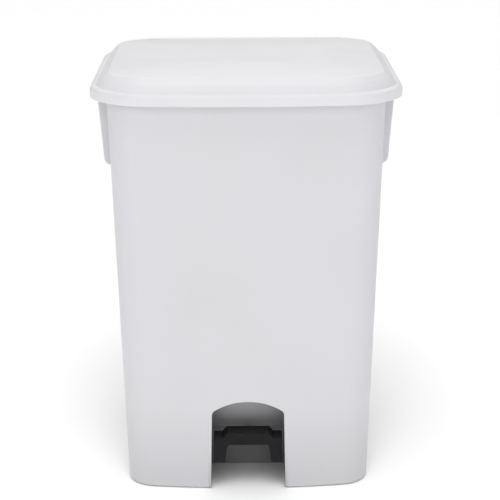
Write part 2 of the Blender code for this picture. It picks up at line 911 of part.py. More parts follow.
pedal_bracket = keep(
    box("pedal_bracket", (-0.0420, -0.0755, 0.0835), (0.0420, -0.0445, BASE_UNDER - GAP)), "zinc"
)
EAR_OUTLINE = (
    (-0.0735, 0.0845),
    (-0.0720, 0.0400),
    (-0.0685, 0.0315),
    (-0.0600, 0.0280),
    (-0.0515, 0.0315),
    (-0.0480, 0.0400),
    (-0.0465, 0.0845),
)
for side, low in (("left", -0.0262), ("right", 0.0240)):
    join(
        pedal_bracket,
        helper(extruded(f"bracket_ear_{side}", EAR_OUTLINE, "X", low, low + 0.0022)),
    )
axle_hole = helper(rods("axle_hole", "X", 0.0042, [((0, PIVOT_Y, PIVOT_Z), 0.1)], segments=20))
bracket_screw_ways = helper(
    rods(
        "bracket_screw_ways",
        "Z",
        0.0021,
        [((x, y, 0.085), 0.02) for x, y in BRACKET_SCREWS],
        segments=12,
    )
)
cut(pedal_bracket, axle_hole, bracket_screw_ways)
bracket_screws = [
    screw(f"bracket_screw_{index}", (x, y, 0.0832), FLIP, 0.0094)
    for index, (x, y) in enumerate(BRACKET_SCREWS, 1)
]
pedal_axle = keep(
    turned(
        "pedal_axle",
        (
            (0.0, 0.0310),
            (0.0035, 0.0310),
            (0.0040, 0.0305),
            (0.0040, -0.0305),
            (0.0035, -0.0310),
            (0.0, -0.0310),
        ),
        TO_PLUS_X,
        (0, PIVOT_Y, PIVOT_Z),
        steps=20,
    ),
    "steel",
)
axle_clips = [
    clip(f"axle_clip_{side}", (x, PIVOT_Y, PIVOT_Z), 0.0042, 0.0075, 0.0018)
    for side, x in (("left", -0.0276), ("right", 0.0276))
]
lever_bush = keep(
    turned(
        "lever_bush",
        (
            (0.0042, 0.0234),
            (0.0066, 0.0234),
            (0.0070, 0.0230),
            (0.0070, -0.0230),
            (0.0066, -0.0234),
            (0.0042, -0.0234),
            (0.0042, 0.0234),
        ),
        TO_PLUS_X,
        (0, PIVOT_Y, PIVOT_Z),
        steps=20,
    ),
    "grey",
)

# ---------------------------------------------------------------- pedal and lever

rear_tilt = -PEDAL_TURN / 2
along = Vector((math.cos(rear_tilt), math.sin(rear_tilt)))
across = Vector((-along.y, along.x))


def on_lever(distance, height):
    """A point of the lever's rear arm: distance from the axle along it, height across it."""
    point = Vector((PIVOT_Y, PIVOT_Z)) + along * distance + across * height
    return (point.x, point.y)


LEVER_OUTLINE = [
    (-0.1600, 0.0635),
    (-0.1600, 0.0765),
    (-0.1100, 0.0700),
    (-0.0800, 0.0545),
    (-0.0710, 0.0490),
    (-0.0600, 0.0520),
    on_lever(0.0120, 0.0090),
    on_lever(0.0220, 0.0070),
    on_lever(0.2140, 0.0062),
    on_lever(0.2185, 0.0045),
    on_lever(0.2203, 0.0),
    on_lever(0.2185, -0.0045),
    on_lever(0.2140, -0.0062),
    on_lever(0.0220, -0.0070),
    on_lever(0.0120, -0.0090),
    (-0.0600, 0.0280),
    (-0.0700, 0.0330),
    (-0.0800, 0.0400),
    (-0.1080, 0.0560),
]
pedal_lever = keep(
    extruded("pedal_lever", LEVER_OUTLINE[::-1], "X", -LEVER_HALF, LEVER_HALF), "steel"
)
bush_hole = helper(rods("bush_hole", "X", 0.0072, [((0, PIVOT_Y, PIVOT_Z), 0.02)], segments=20))
slot_near = (ROD_Y - PIVOT_Y) - 0.0004
slot_far = (ROD_Y - PIVOT_Y) / math.cos(rear_tilt) + 0.0004
lever_slot_outline = [on_lever(*point) for point in stadium(slot_near, slot_far, 0.0029)]
lever_end_slot = helper(extruded("lever_end_slot", lever_slot_outline, "X", -0.01, 0.01))
PEDAL_BOLTS = ((-0.1545, 0.0692), (-0.1435, 0.0677))
bolt_ways = helper(
    rods("bolt_ways", "X", 0.0024, [((0, y, z), 0.03) for y, z in PEDAL_BOLTS], segments=12)
)
cut(pedal_lever, bush_hole, lever_end_slot, bolt_ways)

FRONT_OUTLINE = (
    (-PEDAL_HALF, CHEEK_BOTTOM),
    (-CHEEK_INNER, CHEEK_BOTTOM),
    (-0.0292, LIP_BOTTOM - 0.004),
    (-0.0270, LIP_BOTTOM),
    (0.0270, LIP_BOTTOM),
    (0.0292, LIP_BOTTOM - 0.004),
    (CHEEK_INNER, CHEEK_BOTTOM),
    (PEDAL_HALF, CHEEK_BOTTOM),
    (PEDAL_HALF, SHOULDER_TOP - 0.0015),
    (PEDAL_HALF - 0.0015, SHOULDER_TOP),
    (0.0350, SHOULDER_TOP),
    (TREAD_HALF, TREAD_TOP),
    (-TREAD_HALF, TREAD_TOP),
    (-0.0350, SHOULDER_TOP),
    (-PEDAL_HALF + 0.0015, SHOULDER_TOP),
    (-PEDAL_HALF, SHOULDER_TOP - 0.0015),
)
HOLLOW_OUTLINE = (
    (-PEDAL_HALF + 0.003, 0.0),
    (PEDAL_HALF - 0.003, 0.0),
    (PEDAL_HALF - 0.003, SHOULDER_TOP - 0.003),
    (0.0338, SHOULDER_TOP - 0.003),
    (TREAD_HALF - 0.0012, TREAD_TOP - 0.003),
    (-TREAD_HALF + 0.0012, TREAD_TOP - 0.003),
    (-0.0338, SHOULDER_TOP - 0.003),
    (-PEDAL_HALF + 0.003, SHOULDER_TOP - 0.003),
)
SIDE_TRIM = (
    (-0.150, 0.0),
    (-0.150, CHEEK_BOTTOM - 0.004),
    (-0.146, CHEEK_BOTTOM + 0.002),
    (-0.095, 0.0600),
    (-0.09, 0.0),
)
pedal = keep(extruded("pedal", FRONT_OUTLINE, "Y", PEDAL_FRONT, PEDAL_BACK), "black")
pedal_hollow = helper(
    extruded("pedal_hollow", HOLLOW_OUTLINE, "Y", PEDAL_FRONT + 0.003, PEDAL_BACK + 0.01)
)
pedal_trim = helper(extruded("pedal_trim", SIDE_TRIM, "X", -0.06, 0.06))
cut(pedal, pedal_hollow, pedal_trim)
for side, low in (("left", -0.0060), ("right", 0.0028)):
    rib = box(
        f"pedal_rib_{side}",
        (low, PEDAL_FRONT + 0.001, LIP_BOTTOM - 0.003),
        (low + 0.0032, PEDAL_BACK - 0.0006, TREAD_TOP - 0.001),
    )
    join(pedal, helper(rib))
RIB_TRIM = (
    (-0.170, 0.03),
    (-0.170, LIP_BOTTOM),
    (-0.1635, LIP_BOTTOM),
    (-0.1500, 0.0608),
    (-0.10, 0.0570),
    (-0.10, 0.03),
)
rib_trim = helper(extruded("rib_trim", RIB_TRIM, "X", -0.0075, 0.0075))
cut(pedal, rib_trim)
for index in range(3):
    front = -0.1600 + 0.008 * index
    ridge = box(
        f"tread_ridge_{index + 1}",
        (-TREAD_HALF + 0.003, front, TREAD_TOP - 0.001),
        (TREAD_HALF - 0.003, front + 0.003, TREAD_TOP + 0.0007),
    )
    join(pedal, helper(ridge))
pedal_bolt_ways = helper(
    rods("pedal_bolt_ways", "X", 0.0022, [((0, y, z), 0.03) for y, z in PEDAL_BOLTS], segments=12)
)
cut(pedal, pedal_bolt_ways)

pedal_bolts, pedal_nuts = [], []
for place, (y, z) in zip(("front", "rear"), PEDAL_BOLTS):
    profile = (
        (0.0, 0.0028),
        (0.0030, 0.0028),
        (0.0040, 0.0018),
        (0.0040, 0.0),
        (0.0020, 0.0),
        (0.0020, -0.0165),
        (0.0, -0.0165),
    )
    pedal_bolts.append(
        keep(turned(f"pedal_bolt_{place}", profile, TO_PLUS_X, (0.0063, y, z), steps=12), "zinc")
    )
    nut = rods(f"pedal_nut_{place}", "X", 0.0040, [((-0.0079, y, z), 0.0032)], segments=6)
    nut_way = helper(
        rods(f"pedal_nut_way_{place}", "X", 0.0022, [((-0.0079, y, z), 0.01)], segments=12)
    )
    pedal_nuts.append(cut(keep(nut, "zinc"), nut_way))

# ---------------------------------------------------------------- joint axes


def carry(name, place, pieces):
    """An empty on a joint's axis that carries the pieces of one moving body."""
    empty = bpy.data.objects.new(name, None)
    empty.location = place
    parts.objects.link(empty)
    bpy.context.view_layer.update()
    for piece in pieces:
        piece.parent = empty
        piece.matrix_parent_inverse = empty.matrix_world.inverted()


carry(
    "lid_hinge_axis",
    (0, HINGE_Y, HINGE_Z),
    [lid_shell, link_bracket, link_pin, link_clip, *link_screws],
)
carry(
    "pedal_pivot_axis",
    (0, PIVOT_Y, PIVOT_Z),
    [pedal, pedal_lever, lever_bush, *pedal_bolts, *pedal_nuts],
)
carry("push_rod_axis", (0, ROD_Y, LEVER_END_Z), [push_rod, fork_pin, fork_clip])
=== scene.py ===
import json
import math

import bmesh
import bpy
from mathutils import Matrix, Vector


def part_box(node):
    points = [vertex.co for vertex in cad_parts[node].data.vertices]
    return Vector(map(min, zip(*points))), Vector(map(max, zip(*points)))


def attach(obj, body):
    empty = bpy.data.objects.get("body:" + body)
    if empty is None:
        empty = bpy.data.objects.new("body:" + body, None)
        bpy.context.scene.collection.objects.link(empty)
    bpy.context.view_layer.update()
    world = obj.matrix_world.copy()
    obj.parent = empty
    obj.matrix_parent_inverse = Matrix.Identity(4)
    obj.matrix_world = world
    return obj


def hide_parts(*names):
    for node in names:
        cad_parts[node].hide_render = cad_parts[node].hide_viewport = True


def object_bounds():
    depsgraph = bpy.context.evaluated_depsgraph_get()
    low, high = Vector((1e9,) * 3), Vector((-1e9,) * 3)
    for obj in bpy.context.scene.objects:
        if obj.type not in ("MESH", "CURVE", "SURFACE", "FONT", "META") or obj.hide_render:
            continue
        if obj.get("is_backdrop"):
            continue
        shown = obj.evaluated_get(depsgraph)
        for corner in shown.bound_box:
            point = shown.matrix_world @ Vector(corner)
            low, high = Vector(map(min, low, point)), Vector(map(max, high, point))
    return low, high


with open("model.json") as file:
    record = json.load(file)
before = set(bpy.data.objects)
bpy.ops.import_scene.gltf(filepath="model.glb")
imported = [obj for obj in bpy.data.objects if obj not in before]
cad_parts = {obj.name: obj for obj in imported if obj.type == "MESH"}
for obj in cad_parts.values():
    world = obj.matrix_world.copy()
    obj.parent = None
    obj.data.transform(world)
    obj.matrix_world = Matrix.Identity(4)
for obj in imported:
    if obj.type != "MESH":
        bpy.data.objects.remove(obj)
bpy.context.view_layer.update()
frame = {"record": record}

RECORD = frame["record"]
BODY_OF = {node: body for body, nodes in RECORD["behaviour"]["bodies"].items() for node in nodes}

# Lid, measured from the frame's own boxes where it sets them
LID_LOW, LID_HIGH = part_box("lid_shell")
LID_HALF = LID_HIGH.x
LID_TOP = LID_HIGH.z
LID_CORNER = 0.0758
FRONT_BOW = 0.015
LID_REAR_BOW = 0.006
SKIRT_BOTTOM = LID_LOW.z
REAR_SKIRT_BOTTOM = 0.5475
LID_LEDGE = 0.5566
LID_CREASE_INSET = 0.0245
LID_WALL = 0.0025
HOOD_HALF = 0.142

# Body
RIM_HALF = 0.1819
BASE_HALF = 0.1656
RIM_FRONT = -0.1856
RIM_BACK = 0.1866
TAPER = RIM_HALF - BASE_HALF
TAPER_HEIGHT = 0.5414
BODY_CORNER = 0.034
BODY_WALL = 0.003
FOOT_RIM = 0.009
FOOT_ROUND = 0.006
RIM_TOP = 0.5532
FLANGE_BOTTOM = 0.5455
FLANGE_INSET = 0.0047
BASE_UNDER = 0.086
BASE_TOP = 0.0893
GRIP_HALF = 0.082
GRIP_BOTTOM = 0.440
POCKET_HALF = 0.071
POCKET_BOTTOM = 0.395
POCKET_INNER = 0.160
RECESS_HALF_TOP = 0.0490
RECESS_HALF_BOTTOM = 0.0512
RECESS_SHOULDER = 0.1155
RECESS_CROWN = 0.130
RECESS_BACK = -0.0805
RECESS_WALL = 0.0025
RECESS_FOOT_ROUND = 0.0022
HOOD_FRONT = -0.1685
HOOD_FOOT = -0.1375
HOOD_LIP = 0.003
HOOD_LIP_BOTTOM = 0.0785

# Linkage
HINGE_Y = 0.1945
HINGE_Z = 0.552
HINGE_X = 0.100
LINK_RADIUS = 0.0458
LINK_Y = HINGE_Y - LINK_RADIUS * math.cos(math.radians(35))
LINK_Z = HINGE_Z - LINK_RADIUS * math.sin(math.radians(35))
ROD_Y = 0.153
ROD_TRAVEL = 2 * LINK_RADIUS * math.sin(math.radians(35))
PIVOT_Y = -0.060
PIVOT_Z = 0.040
PEDAL_TURN = 2 * math.atan(ROD_TRAVEL / 2 / (ROD_Y - PIVOT_Y))
LEVER_END_Z = PIVOT_Z - ROD_TRAVEL / 2
GROOVE_HALF = 0.022
GROOVE_FRONT = 0.140
GUIDE_HEIGHTS = (0.150, 0.420)
COVER_HALF = 0.036
COVER_BOTTOM = 0.030
COVER_TOP = 0.505
COVER_SCREWS = ((0.030, 0.060), (-0.030, 0.060), (0.030, 0.475), (-0.030, 0.475))
BRACKET_SCREWS = tuple((x, y) for x in (-0.0345, 0.0345) for y in (-0.068, -0.052))
LINK_BOSSES = (-0.018, 0.018)
LINK_SCREW_Y = 0.157
BORE = 0.0027

# Pedal
PEDAL_LOW, PEDAL_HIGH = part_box("pedal")
PEDAL_HALF = PEDAL_HIGH.x
PEDAL_FRONT = PEDAL_LOW.y
PEDAL_BACK = PEDAL_HIGH.y
TREAD_HALF = 0.0285
TREAD_TOP = 0.0812
SHOULDER_TOP = 0.0742
LIP_BOTTOM = 0.0642
CHEEK_BOTTOM = PEDAL_LOW.z
CHEEK_INNER = 0.0315

scene = bpy.context.scene
helpers = []


# ------------------------------------------------------------------ shapes


def to_object(name, shape):
    bmesh.ops.recalc_face_normals(shape, faces=shape.faces)
    mesh = bpy.data.meshes.new(name)
    shape.to_mesh(mesh)
    shape.free()
    obj = bpy.data.objects.new(name, mesh)
    scene.collection.objects.link(obj)
    return obj


def helper(obj):
    helpers.append(obj)
    obj.hide_render = True
    return obj


def block(name, low, high, round_by=0.0, segments=2):
    low, high = Vector(low), Vector(high)
    shape = bmesh.new()
    bmesh.ops.create_cube(shape, size=1.0)
    bmesh.ops.scale(shape, vec=high - low, verts=shape.verts)
    bmesh.ops.translate(shape, vec=(low + high) / 2, verts=shape.verts)
    if round_by:
        bmesh.ops.bevel(
            shape, geom=shape.edges[:], offset=round_by, segments=segments, profile=0.5, affect="EDGES"
        )
    return to_object(name, shape)


AXIS_TURN = {
    "X": Matrix.Rotation(math.pi / 2, 4, "Y"),
    "Y": Matrix.Rotation(-math.pi / 2, 4, "X"),
    "Z": Matrix.Identity(4),
}


def rods(name, axis, radius, ends, segments=32, far_radius=None):
    shape = bmesh.new()
    for centre, length in ends:
        bmesh.ops.create_cone(
            shape,
            cap_ends=True,
            segments=segments,
            radius1=radius,
            radius2=radius if far_radius is None else far_radius,
            depth=length,
            matrix=Matrix.Translation(centre) @ AXIS_TURN[axis],
        )
    return to_object(name, shape)


def rounded(points, cyclic=True, steps=4):
    """A polyline with its corners rounded. Each point is (u, v) or (u, v, radius)."""
    result = []
    count = len(points)
    for i, point in enumerate(points):
        here = Vector(point[:2])
        radius = point[2] if len(point) > 2 else 0.0
        if not radius or (not cyclic and i in (0, count - 1)):
            result.append((here.x, here.y))
            continue
        before = Vector(points[i - 1][:2]) - here
        after = Vector(points[(i + 1) % count][:2]) - here
        half = before.angle(after) / 2
        if half > math.radians(89):
            result.append((here.x, here.y))
            continue
        reach = min(radius / math.tan(half), 0.48 * before.length, 0.48 * after.length)
        radius = reach * math.tan(half)
        centre = here + (before.normalized() + after.normalized()).normalized() * (radius / math.sin(half))
        first = here + before.normalized() * reach - centre
        last = here + after.normalized() * reach - centre
        sweep = first.angle_signed(last)
        for step in range(steps + 1):
            turn = -sweep * step / steps
            c, s = math.cos(turn), math.sin(turn)
            result.append((centre.x + c * first.x - s * first.y, centre.y + s * first.x + c * first.y))
    return result


def extruded(name, outline, axis, low, high):
    """A flat outline, given in the two other axes in order, run from low to high along axis."""
    shape = bmesh.new()
    place = {
        "X": lambda u, v, w: (w, u, v),
        "Y": lambda u, v, w: (u, w, v),
        "Z": lambda u, v, w: (u, v, w),
    }[axis]
    ends = [[shape.verts.new(place(u, v, w)) for u, v in outline] for w in (low, high)]
    count = len(outline)
    for i in range(count):
        j = (i + 1) % count
        shape.faces.new((ends[0][i], ends[0][j], ends[1][j], ends[1][i]))
    shape.faces.new(ends[0][::-1])
    shape.faces.new(ends[1])
    return to_object(name, shape)


def stadium(low, high, z, radius, steps=12):
    """A slot outline between two centres at the same height."""
    points = []
    for centre, start in ((high, math.pi / 2), (low, -math.pi / 2)):
        for step in range(steps + 1):
            angle = start - math.pi * step / steps
            points.append((centre + radius * math.cos(angle), z + radius * math.sin(angle)))
    return points


def turned_shape(profile, steps):
    """Rings of (radius, height) points spun about Z. A first and last point on the axis close it."""
    shape = bmesh.new()
    rows = []
    for radius, height in profile:
        if radius < 1e-7:
            rows.append([shape.verts.new((0, 0, height))])
        else:
            rows.append(
                [
                    shape.verts.new(
                        (
                            radius * math.cos(2 * math.pi * i / steps),
                            radius * math.sin(2 * math.pi * i / steps),
                            height,
                        )
                    )
                    for i in range(steps)
                ]
            )
    pairs = list(zip(rows, rows[1:]))
    if profile[0][0] > 1e-7:
        pairs.append((rows[-1], rows[0]))
    for first, second in pairs:
        for i in range(steps):
            j = (i + 1) % steps
            corners = [first[0] if len(first) == 1 else first[i]]
            if len(first) > 1:
                corners.append(first[j])
            if len(second) > 1:
                corners.append(second[j])
            corners.append(second[0] if len(second) == 1 else second[i])
            shape.faces.new(corners)
    return shape


def turned(name, profile, axis=Matrix.Identity(4), place=(0, 0, 0), steps=40):
    obj = to_object(name, turned_shape(profile, steps))
    obj.matrix_world = Matrix.Translation(place) @ axis
    return obj


def boolean(target, other, operation):
    modifier = target.modifiers.new(other.name, "BOOLEAN")
    modifier.operation = operation
    modifier.solver = "EXACT"
    modifier.object = helper(other)
    return target


def cut(target, *others):
    for other in others:
        boolean(target, other, "DIFFERENCE")
    return target


def join(target, *others):
    for other in others:
        boolean(target, other, "UNION")
    return target


def settle(obj):
    """The mesh as its modifiers leave it, in the row frame."""
    bpy.context.view_layer.update()
    mesh = bpy.data.meshes.new_from_object(obj.evaluated_get(bpy.context.evaluated_depsgraph_get()))
    mesh.transform(obj.matrix_world)
    obj.modifiers.clear()
    obj.data = mesh
    obj.matrix_world = Matrix.Identity(4)
    return obj


def ease(obj, width, segments=2, angle=35, where=None):
    """Rounds the sharp edges of a settled mesh."""
    shape = bmesh.new()
    shape.from_mesh(obj.data)
    bmesh.ops.remove_doubles(shape, verts=shape.verts, dist=0.00002)
    bmesh.ops.dissolve_degenerate(shape, edges=shape.edges, dist=0.00002)
    limit = math.radians(angle)
    edges = [
        e
        for e in shape.edges
        if e.is_manifold
        and e.calc_face_angle(0.0) > limit
        and (where is None or where((e.verts[0].co + e.verts[1].co) / 2))
    ]
    bmesh.ops.bevel(
        shape,
        geom=edges,
        offset=width,
        offset_type="OFFSET",
        segments=segments,
        profile=0.5,
        affect="EDGES",
        clamp_overlap=False,
    )
    shape.to_mesh(obj.data)
    shape.free()
    return obj


def shade(obj, angle=32):
    obj.data.polygons.foreach_set("use_smooth", [True] * len(obj.data.polygons))
    obj.data.set_sharp_from_angle(angle=math.radians(angle))
    normals = obj.modifiers.new("weighted_normals", "WEIGHTED_NORMAL")
    normals.mode = "FACE_AREA_WITH_ANGLE"
    normals.keep_sharp = True
    return obj


def dress(obj, node, finish, angle=32):
    """obj stands for that CAD node, rides its body and takes its finish."""
    shade(obj, angle)
    obj.data.materials.clear()
    obj.data.materials.append(finish)
    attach(obj, BODY_OF[node])
    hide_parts(node)
    return obj


# ------------------------------------------------------------------ plan outlines


def plan_ring(half, front, back, corner, front_bow, back_bow, fronts, backs, steps):
    """A rounded rectangle with bowed front and back edges, counter-clockwise from the front right corner."""
    centres = (
        (half - corner, front + corner, -90),
        (half - corner, back - corner, 0),
        (-half + corner, back - corner, 90),
        (-half + corner, front + corner, 180),
    )
    points = []
    for x, y, start in centres:
        for step in range(steps + 1):
            angle = math.radians(start + 90 * step / steps)
            points.append((x + corner * math.cos(angle), y + corner * math.sin(angle)))
        if start == 0:
            points += [((half - corner) * t, back) for t in backs]
    points += [((half - corner) * t, front) for t in fronts]
    middle, half_depth = (front + back) / 2, (back - front) / 2
    bowed = []
    for x, y in points:
        side = (middle - y) / half_depth
        bow = front_bow if side > 0 else back_bow
        bowed.append((x, y + bow * (x / half) ** 2 * side))
    return bowed


def loft(name, rings):
    shape = bmesh.new()
    rows = [[shape.verts.new(point) for point in ring] for ring in rings]
    count = len(rows[0])
    for low, high in zip(rows, rows[1:]):
        for i in range(count):
            j = (i + 1) % count
            shape.faces.new((low[i], low[j], high[j], high[i]))
    shape.faces.new(rows[0][::-1])
    shape.faces.new(rows[-1])
    return to_object(name, shape)


BODY_FRONTS = (-0.88, -0.75, -0.61, -0.46, -0.30, -0.15, 0.0, 0.15, 0.30, 0.46, 0.61, 0.75, 0.88)
LID_FRONTS = tuple(-0.9 + 0.1 * i for i in range(19))


def body_ring(z, inset, at_z=None):
    narrowing = TAPER * (1 - z / TAPER_HEIGHT)
    outline = plan_ring(
        RIM_HALF - narrowing - inset,
        RIM_FRONT + narrowing + inset,
        RIM_BACK - narrowing - inset,
        BODY_CORNER - inset,
        FRONT_BOW,
        0.0,
        BODY_FRONTS,
        (0.5, 0.0, -0.5),
        16,
    )
    return [(x, y, z if at_z is None else at_z) for x, y in outline]


def back_wall(z):
    return RIM_BACK - TAPER * (1 - z / TAPER_HEIGHT)


def rear_fall(y):
    t = min(max((y - 0.088) / 0.09, 0.0), 1.0)
    return 0.002 * t * t * (3 - 2 * t)


def lid_ring(z, inset):
    beyond = max(0.0, inset - LID_CREASE_INSET)
    outline = plan_ring(
        LID_HALF - inset,
        -LID_HALF + inset,
        LID_HALF - inset,
        LID_CORNER - min(inset, LID_CREASE_INSET) - 0.3 * beyond,
        FRONT_BOW,
        LID_REAR_BOW,
        LID_FRONTS,
        tuple(-t for t in LID_FRONTS),
        20,
    )
    share = min(max((z - LID_LEDGE) / 0.004, 0.0), 1.0)
    return [(x, y, z - share * rear_fall(y)) for x, y in outline]


# ------------------------------------------------------------------ finishes


class Finish:
    """A procedural surface: a Principled shader with its colour, roughness and bump built from nodes."""

    def __init__(self, name, color, roughness, metallic=0.0):
        self.material = bpy.data.materials.new(name)
        self.material.use_nodes = True
        self.tree = self.material.node_tree
        self.shader = self.tree.nodes["Principled BSDF"]
        self.shader.inputs["Metallic"].default_value = metallic
        self.where = self.node("ShaderNodeTexCoord").outputs["Object"]
        self.height = None
        self.color = self.mix_constant(color)
        self.roughness = self.number(roughness)

    def node(self, kind, **settings):
        node = self.tree.nodes.new(kind)
        for key, value in settings.items():
            setattr(node, key, value)
        return node

    def link(self, a, b):
        self.tree.links.new(a, b)

    def feed(self, socket, value):
        if isinstance(value, (int, float)):
            socket.default_value = value
        elif isinstance(value, tuple):
            socket.default_value = (*value, 1.0) if len(value) == 3 else value
        else:
            self.link(value, socket)

    def mix_constant(self, color):
        return tuple(color)

    def number(self, value):
        return value

    def stretched(self, scale):
        mapping = self.node("ShaderNodeMapping")
        mapping.inputs["Scale"].default_value = scale
        self.link(self.where, mapping.inputs["Vector"])
        return mapping.outputs["Vector"]

    def noise(self, scale, detail=3.0, roughness=0.5, stretch=None, distortion=0.0):
        noise = self.node("ShaderNodeTexNoise")
        noise.inputs["Scale"].default_value = scale
        noise.inputs["Detail"].default_value = detail
        noise.inputs["Roughness"].default_value = roughness
        noise.inputs["Distortion"].default_value = distortion
        self.link(self.stretched(stretch) if stretch else self.where, noise.inputs["Vector"])
        return noise.outputs["Fac"]

    def cells(self, scale, feature="F1", stretch=None, output="Distance"):
        cells = self.node("ShaderNodeTexVoronoi", feature=feature)
        cells.inputs["Scale"].default_value = scale
        self.link(self.stretched(stretch) if stretch else self.where, cells.inputs["Vector"])
        return cells.outputs[output]

    def ramp(self, value, low, high, out_low=0.0, out_high=1.0):
        ramp = self.node("ShaderNodeMapRange")
        self.link(value, ramp.inputs["Value"])
        for key, number in (
            ("From Min", low), ("From Max", high), ("To Min", out_low), ("To Max", out_high)
        ):
            ramp.inputs[key].default_value = number
        return ramp.outputs["Result"]

    def maths(self, operation, a, b):
        node = self.node("ShaderNodeMath", operation=operation)
        self.feed(node.inputs[0], a)
        self.feed(node.inputs[1], b)
        return node.outputs[0]

    def tint(self, mask, color):
        """Mixes color over the base where mask is 1."""
        mix = self.node("ShaderNodeMix", data_type="RGBA")
        self.feed(mix.inputs["Factor"], mask)
        self.feed(mix.inputs["A"], self.color)
        self.feed(mix.inputs["B"], tuple(color))
        self.color = mix.outputs["Result"]

    def roughen(self, mask, amount):
        change = self.maths("MULTIPLY", mask, amount)
        self.roughness = self.maths("ADD", change, self.roughness)

    def bump(self, value, strength, distance):
        bump = self.node("ShaderNodeBump")
        bump.inputs["Strength"].default_value = strength
        bump.inputs["Distance"].default_value = distance
        self.link(value, bump.inputs["Height"])
        if self.height is not None:
            self.link(self.height, bump.inputs["Normal"])
        self.height = bump.outputs["Normal"]

    def edges(self, radius):
        """1 along the piece's edges, 0 on its faces."""
        bevel = self.node("ShaderNodeBevel", samples=4)
        bevel.inputs["Radius"].default_value = radius
        plain = self.node("ShaderNodeNewGeometry")
        dot = self.node("ShaderNodeVectorMath", operation="DOT_PRODUCT")
        self.link(bevel.outputs["Normal"], dot.inputs[0])
        self.link(plain.outputs["Normal"], dot.inputs[1])
        return self.ramp(dot.outputs["Value"], 0.999, 0.90)

    def hollows(self, distance, open_at=0.75, deep_at=0.25):
        """1 in corners and hollows."""
        occlusion = self.node("ShaderNodeAmbientOcclusion", samples=4, only_local=True)
        occlusion.inputs["Distance"].default_value = distance
        return self.ramp(occlusion.outputs["AO"], open_at, deep_at)

    def recess(self, place):
        """1 on the walls of the foot recess, behind the front face; the mask for the painted shade there."""
        behind = self.maths("MULTIPLY", self.ramp(place.outputs["Y"], -0.1695, -0.1655), self.ramp(place.outputs["Y"], -0.070, -0.080))
        narrow = self.ramp(self.maths("ABSOLUTE", place.outputs["X"], 0.0), 0.0560, 0.0522)
        return self.maths("MULTIPLY", behind, narrow)

    def upward(self):
        """1 on faces that look up."""
        facing = self.node("ShaderNodeSeparateXYZ")
        self.link(self.node("ShaderNodeNewGeometry").outputs["Normal"], facing.inputs["Vector"])
        return self.ramp(facing.outputs["Z"], 0.5, 0.95)

    def done(self):
        self.feed(self.shader.inputs["Base Color"], self.color)
        self.feed(self.shader.inputs["Roughness"], self.roughness)
        if self.height is not None:
            self.link(self.height, self.shader.inputs["Normal"])
        return self.material


def white_plastic(name, color, roughness, scuff_and_darkening_height):
    """Satin moulded polypropylene: fine spark-eroded grain, faint flow marks, rubbed edges, scuffs near the floor,
    darker towards the bottom, and painted shade in creases and in the foot recess.
    """
    f = Finish(name, color, roughness)
    warm = tuple(c * k for c, k in zip(color, (0.965, 0.968, 0.955)))
    cool = tuple(c * k for c, k in zip(color, (1.012, 1.014, 1.03)))
    f.tint(f.ramp(f.noise(7.0, 2.0), 0.42, 0.70, 0.0, 0.55), warm)
    f.tint(f.ramp(f.noise(5.0, 1.0, stretch=(1.0, 1.0, 0.35)), 0.45, 0.68, 0.0, 0.5), cool)
    speck = f.ramp(f.noise(950.0, 2.0, 0.6), 0.56, 0.74)
    f.tint(f.maths("MULTIPLY", speck, 0.16), tuple(c * 0.86 for c in color))
    edge = f.edges(0.0011)
    rubbed = f.maths("MULTIPLY", edge, f.ramp(f.noise(140.0, 3.0), 0.42, 0.62))
    f.tint(f.maths("MULTIPLY", rubbed, 0.45), tuple(min(1.0, c * 1.09) for c in color))
    scratch = f.ramp(f.noise(210.0, 4.0, 0.62, stretch=(1.0, 1.0, 0.05)), 0.665, 0.72)
    across = f.ramp(f.noise(190.0, 4.0, 0.62, stretch=(0.05, 0.05, 1.0)), 0.67, 0.72)
    height = f.node("ShaderNodeSeparateXYZ")
    f.link(f.where, height.inputs["Vector"])
    near_floor = f.ramp(height.outputs["Z"], scuff_and_darkening_height, 0.0, 0.12, 1.0)
    marks = f.maths("MULTIPLY", f.maths("MAXIMUM", scratch, across), near_floor)
    f.tint(f.maths("MULTIPLY", marks, 0.22), tuple(c * 0.78 for c in color))
    # painted shade: a little darker in creases and tight corners
    f.tint(f.maths("MULTIPLY", f.hollows(0.006), 0.10), tuple(c * 0.80 for c in color))
    # darker towards the bottom, over the lowest part of the piece
    lower_darkening = f.ramp(height.outputs["Z"], scuff_and_darkening_height, 0.015, 0.0, 0.9)
    f.tint(lower_darkening, tuple(c * 0.85 for c in color))
    # painted shade: the foot recess walls are darkened towards deep grey, more strongly where the recess is deeper,
    # to stand in for the shade inside it
    recess_shade_mask = f.maths("MULTIPLY", f.ramp(height.outputs["Z"], 0.1312, 0.1296), f.recess(height))
    recess_shade_strength = f.maths("ADD", f.maths("MULTIPLY", f.hollows(0.12, 0.97, 0.45), 0.19), 0.64)
    f.tint(f.maths("MULTIPLY", recess_shade_strength, recess_shade_mask), tuple(c * 0.12 for c in color))
    f.roughen(f.ramp(f.noise(26.0, 3.0), 0.3, 0.7, -0.05, 0.05), 1.0)
    f.roughen(rubbed, -0.08)
    f.roughen(marks, 0.12)
    f.bump(f.noise(9.0, 1.0), 0.30, 0.0016)
    f.bump(f.noise(1500.0, 3.0, 0.6), 0.10, 0.00012)
    f.bump(f.maths("MULTIPLY", marks, -1.0), 0.12, 0.0001)
    f.shader.inputs["Specular IOR Level"].default_value = 0.42
    f.shader.inputs["Subsurface Weight"].default_value = 0.05
    f.shader.inputs["Subsurface Radius"].default_value = (0.004, 0.004, 0.0045)
    f.shader.inputs["Subsurface Scale"].default_value = 1.0
    return f.done()


